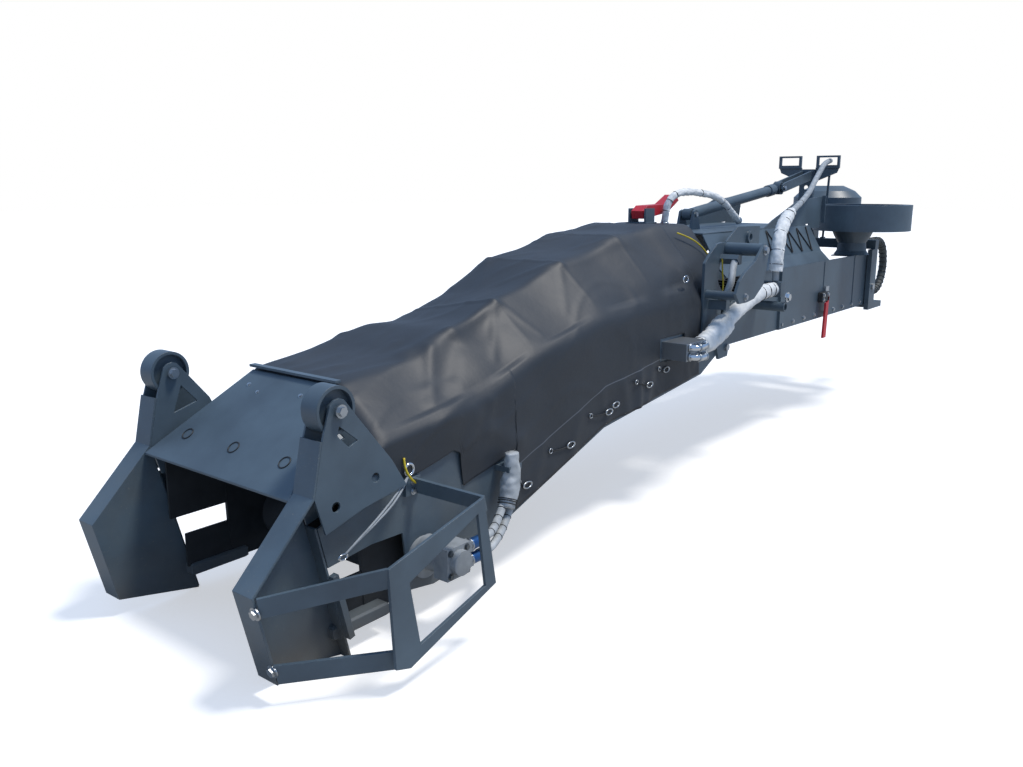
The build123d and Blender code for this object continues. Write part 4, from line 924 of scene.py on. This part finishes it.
def cords():
    """The covers' lacing, the elastic strap at the mouth with its hook, and the yellow cables."""
    for name, side in SIDES:
        line = []
        for k in range(10):
            y, z = LACING[k % 2]
            line.append(Vector((1.32 + 0.085 * k, side * y, z)))
        tube("cover_lacing_" + name, line, 0.004, CORD_BLACK, "rear_section", 8, 0.02)
    for k, (shift, drop) in enumerate(((0.0, 0.0), (0.012, 0.010))):
        strap = smooth_line([(5.478, 0.519, -0.075), (5.560, 0.545 + shift, -0.118 - drop),
                             (5.700, 0.573, -0.178 - drop), (5.800, 0.573, -0.232), (5.838, 0.570, -0.256)])
        tube(f"mouth_strap_{k}", strap, 0.0040, BRAID, "front_section", 10, 0.01)
    hook = [(5.846, 0.570, -0.262, 0, 1, 0)]
    rings("mouth_hook", hook, CHROME, "chrome_rod", "front_section", 0.010, 0.003, 1.8)
    for name, route in CABLES.items():
        tube(name, smooth_line(route), 0.0045, YELLOW, "front_section", 10, 0.008)


def part_of(line, first, last):
    """The stretch of a line between two distances along it."""
    return [point for point, _, at in even_steps(line, 0.02) if first <= at <= last]


def slab(name, low, high, finish, body, lean=0.0):
    """A flat bar with eased corners, from its low corner to its high one, its foot moved along x by lean."""
    (ax, ay, az), (bx, by, bz) = low, high
    ease = 0.15 * min(bx - ax, by - ay, bz - az)
    points, faces = [], []
    for z, shift, inset in ((az, lean, ease), (az + ease, lean, 0.0), (bz - ease, 0.0, 0.0), (bz, 0.0, ease)):
        for x, y in ((ax, ay), (bx, ay), (bx, by), (ax, by)):
            points.append((x + shift + (inset if x == ax else -inset), y + (inset if y == ay else -inset), z))
    for k in range(3):
        faces += [(4 * k + j, 4 * k + (j + 1) % 4, 4 * k + 4 + (j + 1) % 4, 4 * k + 4 + j) for j in range(4)]
    faces += [(3, 2, 1, 0), (12, 13, 14, 15)]
    add_piece(name, points, faces, finish, body, smooth=False)


def loose_sleeves():
    """Wide crumpled sleeves over the bundle and the mast hose's lower end, and the hose over the pivots."""
    bundle = part_of(smooth_line(ROUTES["hose_bundle"]), 0.05, 0.34)
    tube("bundle_outer_sleeve", bundle, lambda at: swell(at, 0.050, 0.011, 0.25),
         SLEEVE_PALE_AND_LIT, "front_section", 36, 0.006, 0.008)
    mast = smooth_line(ROUTES["hose_mast"])
    tube("mast_outer_sleeve", part_of(mast, 1.62, 2.30),
         lambda at: 0.027 + 0.012 * math.sin(min(1.0, at / 0.2) * 1.57),
         SLEEVE_PALE_AND_LIT, "rear_section", 32, 0.006, 0.006)
    ties = (1.74, 1.90, 2.04, 2.16, 2.24)
    bands("mast_sleeve_ties", mast, ties, 0.0385, 0.0022, CORD_BLACK, "rear_section")
    route = ((2.842, 0.060, 0.715), (2.852, 0.070, 0.820), (2.815, 0.090, 0.900), (2.700, 0.105, 0.925),
             (2.500, 0.120, 0.915), (2.310, 0.120, 0.895), (2.170, 0.120, 0.850), (2.060, 0.118, 0.790),
             (1.960, 0.110, 0.745), (1.900, 0.100, 0.725))
    line = smooth_line(route)
    piece = tube("pivot_hose", line, 0.0205, SLEEVE_PALE_AND_LIT, "rear_section", 28, 0.006, 0.004)
    whole = sum((b - a).length for a, b in zip(line, line[1:]))
    ties = (0.10, 0.16, 0.22, 0.50, 0.80, 0.90)
    bands("pivot_hose_ties", line, ties, 0.0205, 0.0025, CORD_BLACK, "rear_section")
    nuts = (0.008, 0.030, whole - 0.05, whole - 0.03, whole - 0.01)
    bands("pivot_hose_nuts", line, nuts, 0.0195, 0.006, ZINC, "rear_section")


# Sheets in the mouth, in black rubber: rubber flaps hang there, and their black, also on the plate and the
# web, is painted shade for the deep shade inside the mouth. Each: how far it stands in from the thickest, x
# and z of its two corners, its lean
MOUTH_SHADE_SHEETS = {
    "plate": (0.000, (5.400, -0.600), (5.645, -0.220), -0.010),
    "skirt": (0.002, (5.620, -0.345), (5.900, -0.100), 0.0),
    "web": (0.003, (5.600, -0.570), (5.840, -0.425), 0.0),
}


def mouth_frame():
    """The black rubber sheets, whose black is also painted shade for the mouth's deep shade, and the rails
    between the belt and the wings, inside the mouth.
    """
    for name, side in SIDES:
        y0, y1 = sorted((side * 0.425, side * 0.410))
        for part, (inset, (x0, z0), (x1, z1), lean) in MOUTH_SHADE_SHEETS.items():
            slab(f"mouth_{part}_{name}", (x0, y0 + inset, z0), (x1, y1 - inset, z1), RUBBER,
                 "front_section", lean)
        y0, y1 = sorted((side * 0.480, side * 0.400))
        slab("mouth_rail_" + name, (5.560, y0, -0.612), (5.830, y1, -0.560), DUSTY,
             "front_section")


def latch():
    """The red lever's wide grip, the latch that it turns, low on the near wall, and the motor's plate."""
    slab("latch_grip", (1.330, 0.532, -0.100), (1.372, 0.546, 0.150), RED, "rear_section", 0.018)
    slab("latch_block", (1.290, 0.502, 0.155), (1.420, 0.534, 0.225), HOSE_RUBBER,
         "rear_section")
    slab("motor_plate", (5.352, 0.6895, -0.416), (5.386, 0.6925, -0.370), PLATE_GREY, "front_section")
    spots = [(x, 0.535, z, 0, 1, 0, size) for x, z, size in
             ((1.315, 0.205, 1.1), (1.395, 0.205, 1.1), (1.395, 0.172, 0.9))]
    repeat("latch_bolts", BOLT, spots, ZINC, "zinc", "rear_section")


def rear_hardware():
    """Pin heads on the fold's lower tubes, and a ring on the near side of each section's cover."""
    spots = [(2.442, side * 0.6905, 0.303, 0, side, 0, 2.2) for _, side in SIDES]
    repeat("tube_end_pins", BOLT, spots, CHROME, "chrome_rod", "rear_section")
    for name, place, body in (("front", (3.355, 0.492, 0.470), "front_section"),
                              ("rear", (2.400, 0.503, 0.440), "rear_section")):
        rings("cover_ring_" + name, [(*place, 0, 1, 0)], CHROME, "chrome_rod", body, 0.018, 0.004, 1.5)


finish_nodes()
loose_sleeves()
mouth_frame()
latch()
rear_hardware()
tarpaulin_cover()
arched_sheet()
hose_pieces()
hardware()
fittings()
motor_sleeve()
cords()

# The stage: the floor's own glow, the sky's and the sun's strength, the sun's width, and where the sun stands
FLOOR_GLOW = 0.52
SKY_STRENGTH = 0.80
SUN_STRENGTH = 2.7
SUN_DEGREES = 12.0
SUN_TOWARDS = (-0.24, 0.32, 0.92)


def stage_floor():
    """A wide pale floor under the wings, white to the camera and still taking the shadow."""
    bpy.ops.mesh.primitive_plane_add(size=120.0, location=(3.0, 0.0, FLOOR_Z))
    floor = bpy.context.object
    floor.name = "floor"
    material = bpy.data.materials.new("pale_floor")
    tree = empty_tree(material)
    seen = add_node(tree, "ShaderNodeLightPath").outputs["Is Camera Ray"]
    paving = add_node(tree, "ShaderNodeMix",
                      {"data_type": "RGBA", "A": linear("#b5b2ac"), "B": linear("#d2d2d2")}, {"Factor": seen})
    diffuse = add_node(tree, "ShaderNodeBsdfDiffuse", links={"Color": paving.outputs["Result"]})
    level = add_node(tree, "ShaderNodeMath", {"operation": "MULTIPLY", 1: FLOOR_GLOW}, {0: seen})
    glow = add_node(tree, "ShaderNodeEmission", {"Color": (1, 1, 1, 1)}, {"Strength": level})
    both = add_node(tree, "ShaderNodeAddShader", links={0: diffuse, 1: glow})
    add_node(tree, "ShaderNodeOutputMaterial", links={"Surface": both})
    floor.data.materials.append(material)


def stage_light():
    """Soft daylight: a pale sky, white to the camera, and one broad sun high on the motor's side."""
    world = bpy.data.worlds.new("sky")
    bpy.context.scene.world = world
    tree = empty_tree(world)
    seen = add_node(tree, "ShaderNodeLightPath").outputs["Is Camera Ray"]
    sky = add_node(tree, "ShaderNodeBackground", {"Color": linear("#a4c4f1"), "Strength": SKY_STRENGTH})
    white = add_node(tree, "ShaderNodeBackground", {"Color": (1, 1, 1, 1), "Strength": 1.0})
    mixed = add_node(tree, "ShaderNodeMixShader", links={0: seen, 1: sky, 2: white})
    add_node(tree, "ShaderNodeOutputWorld", links={"Surface": mixed})
    lamp = bpy.data.lights.new("high_sun", "SUN")
    lamp.energy = SUN_STRENGTH
    lamp.angle = math.radians(SUN_DEGREES)
    lamp.color = (1.0, 0.95, 0.88)
    place = bpy.data.objects.new("high_sun", lamp)
    bpy.context.scene.collection.objects.link(place)
    place.rotation_mode = "QUATERNION"
    place.rotation_quaternion = Vector(SUN_TOWARDS).normalized().to_track_quat("Z", "Y")


def stage_camera():
    """The photograph's own view."""
    data = bpy.data.cameras.new("camera")
    data.lens = LENS_MM
    data.sensor_width = 36.0
    data.clip_start = 0.05
    data.clip_end = 200.0
    camera = bpy.data.objects.new("camera", data)
    bpy.context.scene.collection.objects.link(camera)
    heading, tilt = math.radians(CAMERA_HEADING), math.radians(CAMERA_TILT)
    look = Vector((-math.sin(heading) * math.cos(tilt), math.cos(heading) * math.cos(tilt), -math.sin(tilt)))
    turn = look.to_track_quat("-Z", "Y").to_matrix().to_4x4()
    roll = Matrix.Rotation(math.radians(CAMERA_ROLL), 4, "Z")
    camera.matrix_world = Matrix.Translation(CAMERA_AT) @ turn @ roll
    bpy.context.scene.camera = camera


stage_floor()
stage_light()
stage_camera()
bpy.context.scene.view_settings.view_transform = "Standard"
